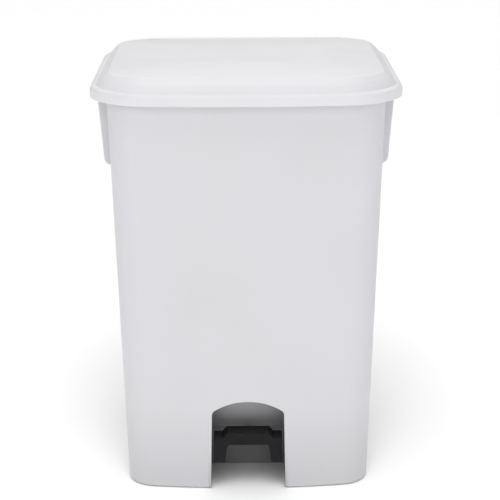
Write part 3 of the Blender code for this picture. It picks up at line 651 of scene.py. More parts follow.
def dark_plastic(name, color, roughness, shine):
    """Leathery grained plastic, rubbed grey where shoes touch it."""
    f = Finish(name, color, roughness)
    f.tint(f.ramp(f.noise(60.0, 3.0), 0.45, 0.75, 0.0, 0.5), tuple(c * 1.55 for c in color))
    edge = f.edges(0.0012)
    rubbed = f.maths("MULTIPLY", edge, f.ramp(f.noise(260.0, 3.0), 0.40, 0.62))
    f.tint(f.maths("MULTIPLY", rubbed, 0.55), tuple(c * 3.2 for c in color))
    dust = f.ramp(f.noise(420.0, 4.0, 0.65), 0.60, 0.78)
    f.tint(f.maths("MULTIPLY", dust, 0.18), tuple(min(1.0, c * 4.0) for c in color))
    scratch = f.ramp(f.noise(260.0, 4.0, 0.62, stretch=(0.08, 1.0, 1.0)), 0.66, 0.71)
    f.tint(f.maths("MULTIPLY", scratch, 0.20), tuple(c * 3.0 for c in color))
    # lighter on faces that look up
    f.tint(f.maths("MULTIPLY", f.upward(), 0.7), tuple(c + 0.020 for c in color))
    f.roughen(f.ramp(f.noise(45.0, 3.0), 0.3, 0.7, -0.07, 0.07), 1.0)
    f.roughen(rubbed, -0.12)
    f.bump(f.cells(900.0, "SMOOTH_F1"), 0.35, 0.00022)
    f.bump(f.noise(1800.0, 2.0), 0.15, 0.0001)
    f.shader.inputs["Specular IOR Level"].default_value = shine
    return f.done()


def bar_steel(name, color, roughness, along):
    """Cold-drawn bar: fine lines along it, slight blueing and a few dull patches."""
    f = Finish(name, color, roughness, 1.0)
    stretch = tuple(0.03 if axis == along else 1.0 for axis in "XYZ")
    lines = f.noise(900.0, 4.0, 0.6, stretch=stretch)
    f.tint(f.ramp(lines, 0.35, 0.75, 0.0, 0.35), tuple(c * 0.72 for c in color))
    f.tint(f.ramp(f.noise(30.0, 4.0), 0.5, 0.75, 0.0, 0.45), (color[0] * 0.80, color[1] * 0.84, color[2] * 0.94))
    # painted highlight: every edge is drawn lighter
    edge = f.edges(0.0007)
    f.tint(f.maths("MULTIPLY", edge, 0.35), tuple(min(1.0, c * 1.3) for c in color))
    f.roughen(f.ramp(lines, 0.3, 0.7, -0.06, 0.10), 1.0)
    f.roughen(f.ramp(f.noise(55.0, 3.0), 0.45, 0.7, 0.0, 0.12), 1.0)
    f.bump(lines, 0.12, 0.0001)
    return f.done()


def turned_steel(name, color, roughness):
    """Bright turned pin with fine tool rings."""
    f = Finish(name, color, roughness, 1.0)
    rings = f.noise(2600.0, 2.0, stretch=(1.0, 0.04, 0.04))
    f.tint(f.ramp(rings, 0.35, 0.7, 0.0, 0.3), tuple(c * 0.78 for c in color))
    f.tint(f.ramp(f.noise(160.0, 3.0), 0.5, 0.75, 0.0, 0.35), (color[0] * 0.86, color[1] * 0.84, color[2] * 0.80))
    f.roughen(f.ramp(rings, 0.3, 0.7, -0.04, 0.08), 1.0)
    f.bump(rings, 0.10, 0.00006)
    return f.done()


def zinc_steel(name, color, roughness):
    """Zinc plating: faint crystal patches, a cool cast, duller in the corners."""
    f = Finish(name, color, roughness, 1.0)
    patch = f.cells(420.0, "F1", output="Color")
    bright = f.node("ShaderNodeRGBToBW")
    f.link(patch, bright.inputs["Color"])
    f.tint(f.ramp(bright.outputs["Val"], 0.2, 0.9, 0.0, 0.30), tuple(c * 0.82 for c in color))
    f.tint(f.ramp(f.noise(70.0, 3.0), 0.45, 0.7, 0.0, 0.5), (color[0] * 0.94, color[1] * 0.98, color[2] * 1.05))
    f.tint(f.maths("MULTIPLY", f.hollows(0.002), 0.35), tuple(c * 0.5 for c in color))
    f.roughen(f.ramp(bright.outputs["Val"], 0.2, 0.9, -0.05, 0.08), 1.0)
    f.bump(f.noise(1200.0, 3.0), 0.10, 0.00008)
    return f.done()


body_white = white_plastic("bin_body_plastic", (0.70, 0.70, 0.725), 0.40, 0.12)
lid_white = white_plastic("bin_lid_plastic", (0.77, 0.77, 0.795), 0.36, 0.02)
cover_white = white_plastic("bin_cover_plastic", (0.69, 0.69, 0.715), 0.42, 0.15)
pedal_black = dark_plastic("pedal_plastic", (0.011, 0.011, 0.012), 0.56, 0.14)
guide_grey = dark_plastic("guide_plastic", (0.30, 0.30, 0.31), 0.45, 0.4)
rod_steel = bar_steel("push_rod_steel", (0.55, 0.56, 0.57), 0.30, "Z")
lever_steel = bar_steel("lever_steel", (0.53, 0.54, 0.55), 0.32, "Y")
pin_steel = turned_steel("pin_steel", (0.60, 0.61, 0.62), 0.24)
zinc = zinc_steel("zinc_plate", (0.64, 0.65, 0.67), 0.34)


# ------------------------------------------------------------------ body

foot_rings = []
for step in range(11):
    angle = math.radians(90 * step / 10)
    up, out = FOOT_ROUND * (1 - math.cos(angle)), FOOT_ROUND * (1 - math.sin(angle))
    foot_rings.append(body_ring(up, out))
body = loft("body", [*foot_rings, body_ring(RIM_TOP, 0.0)])
rim_flange = loft(
    "rim_flange", [lid_ring(FLANGE_BOTTOM, FLANGE_INSET), lid_ring(RIM_TOP, FLANGE_INSET)]
)
cut(rim_flange, block("rim_flange_end", (-0.3, 0.170, 0.5), (0.3, 0.3, 0.6)))
join(body, rim_flange)

GRIP_OUTLINE = (
    (0.164, GRIP_BOTTOM),
    (0.1865, GRIP_BOTTOM, 0.001),
    (0.1905, 0.4425, 0.003),
    (0.1922, 0.4470, 0.003),
    (0.2000, FLANGE_BOTTOM + 0.001),
    (0.164, FLANGE_BOTTOM + 0.001),
)
POCKET_OUTLINE = (
    (POCKET_INNER, POCKET_BOTTOM, 0.002),
    (0.215, POCKET_BOTTOM - 0.010),
    (0.215, 0.430),
    (0.1840, 0.430, 0.001),
    (0.1840, GRIP_BOTTOM),
    (0.1970, 0.534),
    (POCKET_INNER + 0.006, 0.534),
    (POCKET_INNER, 0.528, 0.003),
)
for side, sign in (("left", -1), ("right", 1)):
    outline = [(sign * x, z) for x, z in rounded(GRIP_OUTLINE)]
    grip = extruded(f"grip_{side}", outline, "Y", -GRIP_HALF, GRIP_HALF)
    ease(
        grip,
        0.0022,
        3,
        60,
        where=lambda p: abs(p.x) > 0.1870 and p.z < FLANGE_BOTTOM,
    )
    join(body, grip)

LUG_OUTLINE = (
    (-0.0120, -0.0170),
    (-0.0060, -0.0170, 0.001),
    (-0.0035, -0.0045, 0.001),
    (0.0, -0.0040),
    (0.0, 0.0040),
    (-0.0120, 0.0011),
)
lug_outline = [(HINGE_Y + y, HINGE_Z + z) for y, z in rounded(LUG_OUTLINE)]
for side, sign in (("left", -1), ("right", 1)):
    low, high = sorted((sign * (HINGE_X - 0.008), sign * (HINGE_X + 0.008)))
    lug = extruded(f"hinge_lug_{side}", lug_outline, "X", low + 0.0005, high - 0.0005)
    eye = rods(f"hinge_eye_{side}", "X", 0.006, [((sign * HINGE_X, HINGE_Y, HINGE_Z), 0.016)], 40)
    join(body, join(lug, eye))

cavity = loft(
    "cavity",
    [
        body_ring(BASE_TOP, BODY_WALL + 0.0060),
        body_ring(BASE_TOP + 0.0005, BODY_WALL + 0.0036),
        body_ring(BASE_TOP + 0.0018, BODY_WALL + 0.0017),
        body_ring(BASE_TOP + 0.0036, BODY_WALL + 0.0005),
        body_ring(BASE_TOP + 0.0060, BODY_WALL),
        body_ring(0.60, BODY_WALL),
    ],
)
for side, sign in (("left", -1), ("right", 1)):
    low, high = sorted((sign * (POCKET_INNER - BODY_WALL), sign * 0.25))
    cut(
        cavity,
        block(
            f"pocket_wall_{side}",
            (low, -POCKET_HALF - BODY_WALL, POCKET_BOTTOM - 0.006),
            (high, POCKET_HALF + BODY_WALL, 0.65),
            0.0015,
        ),
    )
HOOD_OUTLINE = (
    (-0.25, 0.0),
    (-0.25, RECESS_CROWN + 0.0042),
    (HOOD_FRONT + 0.0015, RECESS_CROWN + 0.0042, 0.003),
    (HOOD_FOOT + 0.0035, BASE_UNDER),
    (HOOD_FOOT + 0.0035, 0.0),
)
cut(
    cavity,
    extruded(
        "hood_block",
        rounded(HOOD_OUTLINE),
        "X",
        -RECESS_HALF_BOTTOM - RECESS_WALL,
        RECESS_HALF_BOTTOM + RECESS_WALL,
    ),
    block(
        "groove_block",
        (-GROOVE_HALF - BODY_WALL, GROOVE_FRONT - BODY_WALL, 0.0),
        (GROOVE_HALF + BODY_WALL, 0.25, 0.65),
    ),
)
for index, height in enumerate(GUIDE_HEIGHTS, 1):
    cut(
        cavity,
        block(
            f"guide_pad_{index}",
            (-0.020, GROOVE_FRONT - 0.0085, height - 0.009),
            (0.020, 0.20, height + 0.009),
            0.001,
        ),
    )
for index, (x, z) in enumerate(COVER_SCREWS, 1):
    if z > BASE_TOP:
        cut(
            cavity,
            block(
                f"cover_boss_{index}",
                (x - 0.006, back_wall(z) - 0.0105, z - 0.006),
                (x + 0.006, 0.25, z + 0.006),
                0.001,
            ),
        )
cut(cavity, block("bracket_pad", (-0.046, -0.080, 0.08), (0.046, -0.040, 0.0945), 0.0015))
cut(body, cavity)

underside = loft(
    "underside",
    [
        body_ring(0.0, FOOT_RIM, -0.05),
        body_ring(0.0, FOOT_RIM, 0.0050),
        body_ring(0.0085, BODY_WALL),
        body_ring(BASE_UNDER, BODY_WALL),
    ],
)
cut(
    underside,
    block(
        "recess_block",
        (-RECESS_HALF_BOTTOM - RECESS_WALL, -0.25, -0.1),
        (RECESS_HALF_BOTTOM + RECESS_WALL, RECESS_BACK + RECESS_WALL, 0.2),
    ),
)
for index, (x, z) in enumerate(COVER_SCREWS, 1):
    if z < BASE_UNDER:
        cut(
            underside,
            block(
                f"cover_boss_{index}",
                (x - 0.006, back_wall(z) - 0.0105, z - 0.006),
                (x + 0.006, 0.25, z + 0.006),
                0.001,
            ),
        )
cut(body, underside)

foot_round = []
for step in range(9):
    angle = math.pi / 2 * step / 8
    out = RECESS_FOOT_ROUND * (1 - math.sin(angle))
    foot_round.append((RECESS_HALF_BOTTOM + out, RECESS_FOOT_ROUND * (1 - math.cos(angle))))
foot_edge = RECESS_HALF_BOTTOM + RECESS_FOOT_ROUND
arch = [(-foot_edge, -0.05), (foot_edge, -0.05), *foot_round]
arch.append((RECESS_HALF_TOP, RECESS_SHOULDER - 0.004))
rise = RECESS_CROWN - RECESS_SHOULDER
chord = RECESS_HALF_TOP - 0.0022
arch_radius = (chord**2 + rise**2) / (2 * rise)
reach = math.asin(chord / arch_radius)
for step in range(29):
    angle = reach * (1 - 2 * step / 28)
    arch.append((arch_radius * math.sin(angle), RECESS_CROWN - arch_radius * (1 - math.cos(angle))))
arch.append((-RECESS_HALF_TOP, RECESS_SHOULDER - 0.004))
arch += [(-x, z) for x, z in reversed(foot_round)]
recess = extruded("recess", arch, "Y", -0.25, RECESS_BACK)
hood_slope = (HOOD_FOOT - HOOD_FRONT) / (RECESS_CROWN - BASE_UNDER)
lip_front = HOOD_FOOT + hood_slope * (BASE_UNDER - HOOD_LIP_BOTTOM)
RECESS_ROOF = (
    (HOOD_FRONT, RECESS_CROWN, 0.002),
    (lip_front, HOOD_LIP_BOTTOM, 0.0009),
    (lip_front + HOOD_LIP, HOOD_LIP_BOTTOM, 0.0009),
    (HOOD_FOOT + HOOD_LIP, BASE_UNDER, 0.001),
    (0.0, BASE_UNDER),
    (0.0, 0.3),
    (HOOD_FRONT, 0.3),
)
cut(recess, extruded("recess_roof", rounded(RECESS_ROOF), "X", -0.1, 0.1))
cut(body, recess)
cut(
    body,
    block("lever_slot", (-0.0055, -0.09, 0.029), (0.0055, -0.07, 0.0575)),
    block("rod_groove", (-GROOVE_HALF, GROOVE_FRONT, -0.05), (GROOVE_HALF, 0.25, 0.65)),
)
for side, sign in (("left", -1), ("right", 1)):
    outline = [(sign * x, z) for x, z in rounded(POCKET_OUTLINE)]
    cut(body, extruded(f"pocket_{side}", outline, "Y", -POCKET_HALF, POCKET_HALF))
cut(
    body,
    rods("body_hinge_holes", "X", BORE, [((s * HINGE_X, HINGE_Y, HINGE_Z), 0.03) for s in (-1, 1)]),
    rods(
        "guide_pilots",
        "Y",
        0.0018,
        [((x, GROOVE_FRONT - 0.002, z), 0.010) for z in GUIDE_HEIGHTS for x in (-0.0125, 0.0125)],
        24,
    ),
    rods("cover_pilots", "Y", 0.0018, [((x, back_wall(z), z), 0.018) for x, z in COVER_SCREWS], 24),
    rods("bracket_pilots", "Z", 0.0018, [((x, y, BASE_UNDER), 0.0144) for x, y in BRACKET_SCREWS], 24),
)
settle(body)


def eased_body_edge(p):
    """The edges a hand or an eye meets: the foot recess, the grips and pockets, the rim."""
    if p.z < 0.0004:
        return False
    recess_edge = abs(p.x) < 0.056 and p.y < -0.12 and p.z < 0.14
    pocket_edge = abs(p.x) > 0.158 and abs(p.y) < POCKET_HALF + 0.004 and 0.38 < p.z < 0.5
    rim = p.z > RIM_TOP - 0.0002
    return recess_edge or pocket_edge or rim


ease(body, 0.0007, 2, 40, eased_body_edge)
dress(body, "body_shell", body_white)

# ------------------------------------------------------------------ lid

OUTER = (
    (0.1600, LID_TOP),
    (0.1200, LID_TOP, 0.030),
    (0.0650, 0.5761, 0.050),
    (0.0243, 0.57365, 0.0040),
    (0.0147, 0.5664, 0.020),
    (0.0080, 0.5568, 0.0014),
    (0.0044, 0.5563, 0.0030),
    (0.0, 0.5540, 0.0036),
    (0.0, SKIRT_BOTTOM, 0.0011),
    (LID_WALL, SKIRT_BOTTOM, 0.0008),
    (LID_WALL, 0.5536, 0.0016),
    (0.0100, 0.5538, 0.0010),
    (0.0165, 0.5642),
    (LID_CREASE_INSET + 0.0017, 0.5710, 0.004),
    (0.065, 0.5734, 0.050),
    (0.120, LID_TOP - LID_WALL, 0.030),
    (0.160, LID_TOP - LID_WALL),
)
lid = loft("lid", [lid_ring(z, inset) for inset, z in rounded(OUTER, cyclic=False, steps=5)])
HINGE_HOOD = (
    (0.150, 0.5650),
    (0.150, 0.5744),
    (0.1535, 0.5752, 0.0015),
    (0.2005, 0.5688, 0.0030),
    (0.2038, 0.5662, 0.0030),
    (0.2046, 0.5630, 0.0020),
    (0.2046, 0.5500),
    (0.190, 0.5500),
)
hood = extruded("hinge_hood", rounded(HINGE_HOOD, steps=6), "X", -HOOD_HALF, HOOD_HALF)
ease(hood, 0.0010, 3, 60, where=lambda p: abs(p.x) > HOOD_HALF - 0.0001 and p.y > 0.1506)
join(lid, hood)
HOOD_HOLLOW = (
    (0.166, 0.53),
    (0.166, 0.5704, 0.001),
    (0.1993, 0.5660, 0.002),
    (0.2018, 0.5632, 0.002),
    (0.2018, 0.53),
)
cut(
    lid,
    extruded(
        "hood_hollow", rounded(HOOD_HOLLOW, steps=3), "X", -HOOD_HALF + LID_WALL, HOOD_HALF - LID_WALL
    ),
    block("rear_skirt", (-0.3, 0.1805, 0.52), (0.3, 0.3, REAR_SKIRT_BOTTOM)),
)
KNUCKLES = ((0.0850, 0.0917), (0.1083, 0.1150))
KNUCKLE_RIB = (
    (0.1900, 0.5520),
    (0.1900, 0.5688),
    (0.1993, 0.5674),
    (0.2028, 0.5642),
    (0.2028, 0.5520),
)
for side, sign in (("left", -1), ("right", 1)):
    for place, (near, far) in zip(("inner", "outer"), KNUCKLES):
        low, high = sorted((sign * near, sign * far))
        rib = extruded(
            f"knuckle_rib_{side}_{place}", KNUCKLE_RIB, "X", low + 0.0005, high - 0.0005
        )
        knuckle = rods(
            f"knuckle_{side}_{place}",
            "X",
            0.006,
            [(((low + high) / 2, HINGE_Y, HINGE_Z), high - low)],
            40,
        )
        join(lid, join(rib, knuckle))
join(lid, rods("lid_bosses", "Z", 0.005, [((x, LINK_SCREW_Y, 0.5675), 0.0096) for x in LINK_BOSSES]))
cut(
    lid,
    rods("knuckle_holes", "X", BORE, [((s * HINGE_X, HINGE_Y, HINGE_Z), 0.05) for s in (-1, 1)]),
    rods("boss_pilots", "Z", 0.0016, [((x, LINK_SCREW_Y, 0.5645), 0.0110) for x in LINK_BOSSES], 24),
)
settle(lid)
dress(lid, "lid_shell", lid_white)

# ------------------------------------------------------------------ channel cover

cover = extruded(
    "cover",
    [
        (back_wall(COVER_BOTTOM) + 0.0003, COVER_BOTTOM),
        (back_wall(COVER_BOTTOM) + 0.0028, COVER_BOTTOM),
        (back_wall(COVER_TOP) + 0.0028, COVER_TOP),
        (back_wall(COVER_TOP) + 0.0003, COVER_TOP),
    ],
    "X",
    -COVER_HALF,
    COVER_HALF,
)
ease(cover, 0.0040, 6, 60, where=lambda p: abs(abs(p.x) - COVER_HALF) < 1e-5 and abs(p.y - back_wall(p.z) - 0.00155) < 0.0008)
ease(cover, 0.0008, 3, 60)
cut(
    cover,
    rods("cover_ways", "Y", 0.0020, [((x, back_wall(z), z), 0.03) for x, z in COVER_SCREWS], 24),
)
settle(cover)
dress(cover, "channel_cover", cover_white)

# ------------------------------------------------------------------ screws, clips, bolts and nuts

TO_PLUS_X = Matrix.Rotation(math.pi / 2, 4, "Y")
TO_MINUS_X = Matrix.Rotation(-math.pi / 2, 4, "Y")
TO_PLUS_Y = Matrix.Rotation(-math.pi / 2, 4, "X")
DOWN = Matrix.Rotation(math.pi, 4, "X")


def screw_mesh(name, length, head=0.0038, height=0.0024, shank=0.0014):
    """A pan head with a cross recess, and a threaded shank. The head stands on Z = 0."""
    dome = [
        (head * math.sin(a), height * 0.45 + height * 0.55 * math.cos(a))
        for a in [math.radians(x) for x in (0, 18, 36, 54, 70, 82, 90)]
    ]
    profile = dome + [(head, 0.0002), (head - 0.0002, 0.0), (shank, 0.0)]
    z = -0.0012
    while z > -length + shank + 0.0006:
        profile += [(shank, z), (shank * 0.76, z - 0.00025), (shank, z - 0.0005)]
        z -= 0.0008
    profile += [(shank * 0.76, z), (shank * 0.7, -length + shank), (0.0, -length)]
    obj = to_object(name, turned_shape(profile, 32))
    wing, depth = head * 0.55, height * 0.55
    cross = []
    for axis, half in (("a", (wing, 0.00042)), ("b", (0.00042, wing))):
        shape = bmesh.new()
        top = [shape.verts.new((x * half[0], y * half[1], height + 0.001)) for x, y in ((-1, -1), (1, -1), (1, 1), (-1, 1))]
        low = [
            shape.verts.new((x * half[0] * (0.45 if half[0] == wing else 1), y * half[1] * (0.45 if half[1] == wing else 1), height - depth))
            for x, y in ((-1, -1), (1, -1), (1, 1), (-1, 1))
        ]
        for i in range(4):
            j = (i + 1) % 4
            shape.faces.new((low[i], low[j], top[j], top[i]))
        shape.faces.new(low[::-1])
        shape.faces.new(top)
        cross.append(to_object(f"{name}_cross_{axis}", shape))
    cut(obj, *cross)
    return settle(obj)


def placed(node, obj, finish, axis, direction, height):
    """Puts a turned piece on its node: centred across its axis, its head at the far end."""
    low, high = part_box(node)
    centre = (low + high) / 2
    axis_index = [abs(d) for d in direction].index(1)
    face = (high if direction[axis_index] > 0 else low)[axis_index]
    centre[axis_index] = face - direction[axis_index] * height
    obj.matrix_world = Matrix.Translation(centre) @ axis
    return dress(obj, node, finish)


def copy_of(source, name):
    obj = bpy.data.objects.new(name, source.data.copy())
    scene.collection.objects.link(obj)
    return obj


SCREWS = (
    ("cover", ["cover_screw_1", "cover_screw_2", "cover_screw_3", "cover_screw_4"], 0.0112, TO_PLUS_Y, (0, 1, 0)),
    (
        "guide",
        [f"guide_screw_{p}_{s}" for p in ("lower", "upper") for s in ("left", "right")],
        0.0138,
        TO_PLUS_Y,
        (0, 1, 0),
    ),
    ("bracket", [f"bracket_screw_{i}" for i in (1, 2, 3, 4)], 0.0094, DOWN, (0, 0, -1)),
    ("link", ["link_screw_left", "link_screw_right"], 0.0092, DOWN, (0, 0, -1)),
)
for kind, nodes, length, axis, direction in SCREWS:
    master = screw_mesh(f"{kind}_master", length)
    for index, node in enumerate(nodes):
        turn = Matrix.Rotation(math.radians(17 + 31 * index), 4, "Z")
        placed(node, copy_of(master, f"{node}_look"), zinc, axis @ turn, direction, 0.0024)
    helper(master)


def clip_mesh(name, bore, rim, thickness):
    """A push-on washer: rounded rim, dished middle and six slots between its teeth."""
    half = thickness / 2
    soft = min(0.0003, half * 0.5)
    profile = rounded(
        (
            (bore, half - 0.0001),
            (bore + 0.0008, half, 0.0002),
            (rim, half, soft),
            (rim, -half, soft),
            (bore, -half),
        ),
        steps=3,
    )
    obj = to_object(name, turned_shape(profile, 48))
    slots = []
    for index in range(6):
        slot = block(f"{name}_slot_{index}", (0, -0.00025, -0.01), (bore + 0.0011, 0.00025, 0.01))
        slot.matrix_world = Matrix.Rotation(math.radians(60 * index + 15), 4, "Z")
        slots.append(slot)
    first = slots[0]
    for other in slots[1:]:
        join(first, other)
    cut(obj, first)
    return settle(obj)


CLIPS = (
    ("hinge", ["hinge_pin_clip_left", "hinge_pin_clip_right"], 0.0027, 0.0050, 0.0016),
    ("link", ["link_pin_clip", "fork_pin_clip"], 0.0027, 0.0048, 0.0014),
    ("axle", ["axle_clip_left", "axle_clip_right"], 0.0042, 0.0075, 0.0018),
)
for kind, nodes, bore, rim, thickness in CLIPS:
    master = clip_mesh(f"{kind}_clip_master", bore, rim, thickness)
    for node in nodes:
        placed(node, copy_of(master, f"{node}_look"), zinc, TO_PLUS_X, (1, 0, 0), thickness / 2)
    helper(master)


def pin(node, profile, axis, direction, height, finish=pin_steel):
    """profile has its points as (radius, height, rounding)."""
    obj = to_object(f"{node}_look", turned_shape(rounded(profile, cyclic=False, steps=4), 40))
    return placed(node, obj, finish, axis, direction, height)


for side, axis, direction in (("left", TO_MINUS_X, (-1, 0, 0)), ("right", TO_PLUS_X, (1, 0, 0))):
    pin(
        f"hinge_pin_{side}",
        (
            (0.0, 0.0022),
            (0.0036, 0.0022, 0.0010),
            (0.0046, 0.0010, 0.0008),
            (0.0046, 0.0, 0.0002),
            (0.0025, 0.0),
            (0.0025, -0.0340, 0.0003),
            (0.0020, -0.0345),
            (0.0, -0.0345),
        ),
        axis,
        direction,
        0.0022,
    )
for node, length in (("link_pin", 0.0170), ("fork_pin", 0.0180)):
    pin(
        node,
        (
            (0.0, 0.0),
            (0.0042, 0.0, 0.0006),
            (0.0042, -0.0018, 0.0002),
            (0.0025, -0.0018),
            (0.0025, -length, 0.0005),
            (0.0, -length),
        ),
        TO_PLUS_X,
        (1, 0, 0),
        0.0,
    )
pin(
    "pedal_axle",
    (
        (0.0, 0.0310),
        (0.0035, 0.0310),
        (0.0040, 0.0305, 0.0003),
        (0.0040, -0.0305, 0.0003),
        (0.0035, -0.0310),
        (0.0, -0.0310),
    ),
    TO_PLUS_X,
    (1, 0, 0),
    0.0310,
)
bush = to_object(
    "lever_bush_look",
    turned_shape(
        rounded(
            (
                (0.0042, 0.0234, 0.0002),
                (0.0066, 0.0234, 0.0003),
                (0.0070, 0.0230, 0.0003),
                (0.0070, -0.0230, 0.0003),
                (0.0066, -0.0234, 0.0003),
                (0.0042, -0.0234, 0.0002),
            ),
            steps=2,
        ),
        48,
    ),
)
placed("lever_bush", bush, guide_grey, TO_PLUS_X, (1, 0, 0), 0.0234)

bolt_master = to_object(
    "bolt_master",
    turned_shape(
        rounded(
            (
                (0.0, 0.0028),
                (0.0028, 0.0028, 0.0008),
                (0.0040, 0.0018, 0.0008),
                (0.0040, 0.0, 0.0002),
                (0.0020, 0.0),
                (0.0020, -0.0165, 0.0004),
                (0.0, -0.0165),
            ),
            cyclic=False,
            steps=4,
        ),
        32,
    ),
)
cut(bolt_master, rods("bolt_socket", "Z", 0.0016, [((0, 0, 0.0026), 0.0030)], 6))
settle(bolt_master)
nut_master = rods("nut_master", "Z", 0.0040, [((0, 0, 0), 0.0032)], 6)
chamfer = turned(
    "nut_chamfer",
    ((0.0, 0.0016), (0.0034, 0.0016), (0.0041, 0.0010), (0.0041, -0.0010), (0.0034, -0.0016), (0.0, -0.0016)),
    steps=48,
)
boolean(nut_master, chamfer, "INTERSECT")
cut(nut_master, rods("nut_thread", "Z", 0.0022, [((0, 0, 0), 0.01)], 32))
settle(nut_master)
for place in ("front", "rear"):
    placed(
        f"pedal_bolt_{place}",
        copy_of(bolt_master, f"pedal_bolt_{place}_look"),
        zinc,
        TO_PLUS_X,
        (1, 0, 0),
        0.0028,
    )
    placed(
        f"pedal_nut_{place}",
        copy_of(nut_master, f"pedal_nut_{place}_look"),
        zinc,
        TO_PLUS_X,
        (1, 0, 0),
        0.0016,
    )
helper(bolt_master)
helper(nut_master)

# ------------------------------------------------------------------ lid link

link = block("lid_link", (-0.0240, 0.1490, 0.5602), (0.0240, 0.1650, 0.5624))
LINK_CHEEK = (
    (LINK_Y - 0.0065, 0.5612),
    (LINK_Y - 0.0065, LINK_Z - 0.0065, 0.0062),
    (LINK_Y + 0.0065, LINK_Z - 0.0065, 0.0062),
    (LINK_Y + 0.0065, 0.5612),
)
for side, low in (("left", -0.0052), ("right", 0.0030)):
    join(link, extruded(f"link_cheek_{side}", rounded(LINK_CHEEK, steps=10), "X", low, low + 0.0022))
cut(
    link,
    rods("link_hole", "X", BORE, [((0, LINK_Y, LINK_Z), 0.03)]),
    rods("link_ways", "Z", 0.0020, [((x, LINK_SCREW_Y, 0.5613), 0.01) for x in LINK_BOSSES]),
)
settle(link)
ease(link, 0.0003, 2, 50)
dress(link, "lid_link_bracket", zinc)

# ------------------------------------------------------------------ push rod and guides

push_rod = block("rod", (-0.0020, ROD_Y - 0.004, 0.0285), (0.0020, ROD_Y + 0.004, LINK_Z - 0.004))
head_low, head_high = HINGE_Y - LINK_RADIUS, LINK_Y
rod_head = extruded("rod_head", stadium(head_low, head_high, LINK_Z, 0.0068), "X", -0.0020, 0.0020)
FORK_OUTLINE = (
    (ROD_Y - 0.0065, 0.0310, 0.001),
    (ROD_Y - 0.0065, LEVER_END_Z - 0.0060, 0.0055),
    (ROD_Y + 0.0065, LEVER_END_Z - 0.0060, 0.0055),
    (ROD_Y + 0.0065, 0.0310, 0.001),
)
rod_fork = extruded("rod_fork", rounded(FORK_OUTLINE, steps=8), "X", -0.0058, 0.0058)
cut(rod_fork, block("fork_gap", (-0.0033, 0.13, -0.01), (0.0033, 0.18, 0.0275)))
join(push_rod, rod_head, rod_fork)
cut(
    push_rod,
    extruded(
        "rod_slot", stadium(head_low - 0.0003, head_high + 0.0003, LINK_Z, 0.0033), "X", -0.01, 0.01
    ),
    rods("fork_hole", "X", BORE, [((0, ROD_Y, LEVER_END_Z), 0.03)]),
)
settle(push_rod)
ease(push_rod, 0.0003, 2, 50)
dress(push_rod, "push_rod", rod_steel)

for place, height in zip(("lower", "upper"), GUIDE_HEIGHTS):
    guide = block(
        f"guide_{place}", (-0.0185, GROOVE_FRONT + 0.0003, height - 0.007), (0.0185, 0.1475, height + 0.007)
    )
    join(guide, block(f"collar_{place}", (-0.0065, 0.1440, height - 0.007), (0.0065, 0.1605, height + 0.007)))
    cut(
        guide,
        block(
            f"guide_way_{place}",
            (-0.0023, ROD_Y - 0.0043, height - 0.03),
            (0.0023, ROD_Y + 0.0043, height + 0.03),
        ),
        rods(f"guide_screw_way_{place}", "Y", 0.0020, [((x, 0.145, height), 0.03) for x in (-0.0125, 0.0125)], 24),
    )
    settle(guide)
    ease(guide, 0.0004, 2, 50)
    dress(guide, f"rod_guide_{place}", guide_grey)

# ------------------------------------------------------------------ pedal bracket

bracket = block("bracket", (-0.0420, -0.0755, 0.0835), (0.0420, -0.0445, BASE_UNDER - 0.0003))
EAR_OUTLINE = (
    (-0.0735, 0.0845),
    (-0.0720, 0.0280, 0.0115),
    (-0.0480, 0.0280, 0.0115),
    (-0.0465, 0.0845),
)
for side, low in (("left", -0.0262), ("right", 0.0240)):
    join(bracket, extruded(f"bracket_ear_{side}", rounded(EAR_OUTLINE, steps=10), "X", low, low + 0.0022))
cut(
    bracket,
    rods("axle_hole", "X", 0.0042, [((0, PIVOT_Y, PIVOT_Z), 0.1)], 40),
    rods("bracket_ways", "Z", 0.0021, [((x, y, 0.085), 0.02) for x, y in BRACKET_SCREWS], 24),
)
settle(bracket)
ease(bracket, 0.0003, 2, 50)
dress(bracket, "pedal_bracket", zinc)

# ------------------------------------------------------------------ pedal lever

tilt = -PEDAL_TURN / 2
along = Vector((math.cos(tilt), math.sin(tilt)))
across = Vector((-along.y, along.x))


def on_lever(distance, height, radius=0.0):
    point = Vector((PIVOT_Y, PIVOT_Z)) + along * distance + across * height
    return (point.x, point.y, radius)


LEVER_OUTLINE = (
    (-0.1600, 0.0635, 0.001),
    (-0.1600, 0.0765, 0.001),
    (-0.1100, 0.0700, 0.010),
    (-0.0800, 0.0545, 0.010),
    (-0.0710, 0.0490, 0.004),
    (-0.0600, 0.0520, 0.006),
    on_lever(0.0120, 0.0090, 0.006),
    on_lever(0.0220, 0.0070, 0.006),
    on_lever(0.2200, 0.0060, 0.0055),
    on_lever(0.2200, -0.0060, 0.0055),
    on_lever(0.0220, -0.0070, 0.006),
    on_lever(0.0120, -0.0090, 0.006),
    (-0.0600, 0.0280, 0.006),
    (-0.0700, 0.0330, 0.006),
    (-0.0800, 0.0400, 0.006),
    (-0.1080, 0.0560, 0.010),
)
lever = extruded("lever", rounded(LEVER_OUTLINE, steps=6), "X", -0.0025, 0.0025)
slot_low = (ROD_Y - PIVOT_Y) - 0.0004
slot_high = (ROD_Y - PIVOT_Y) / math.cos(tilt) + 0.0004
lever_slot = extruded(
    "lever_end_slot",
    [on_lever(u, v)[:2] for u, v in stadium(slot_low, slot_high, 0.0, 0.0029)],
    "X",
    -0.01,
    0.01,
)
PEDAL_BOLTS = ((-0.1545, 0.0692), (-0.1435, 0.0677))
cut(
    lever,
    rods("bush_hole", "X", 0.0072, [((0, PIVOT_Y, PIVOT_Z), 0.02)], 48),
    lever_slot,
    rods("bolt_ways", "X", 0.0024, [((0, y, z), 0.03) for y, z in PEDAL_BOLTS]),
)
settle(lever)
ease(lever, 0.0004, 2, 50)
dress(lever, "pedal_lever", lever_steel)

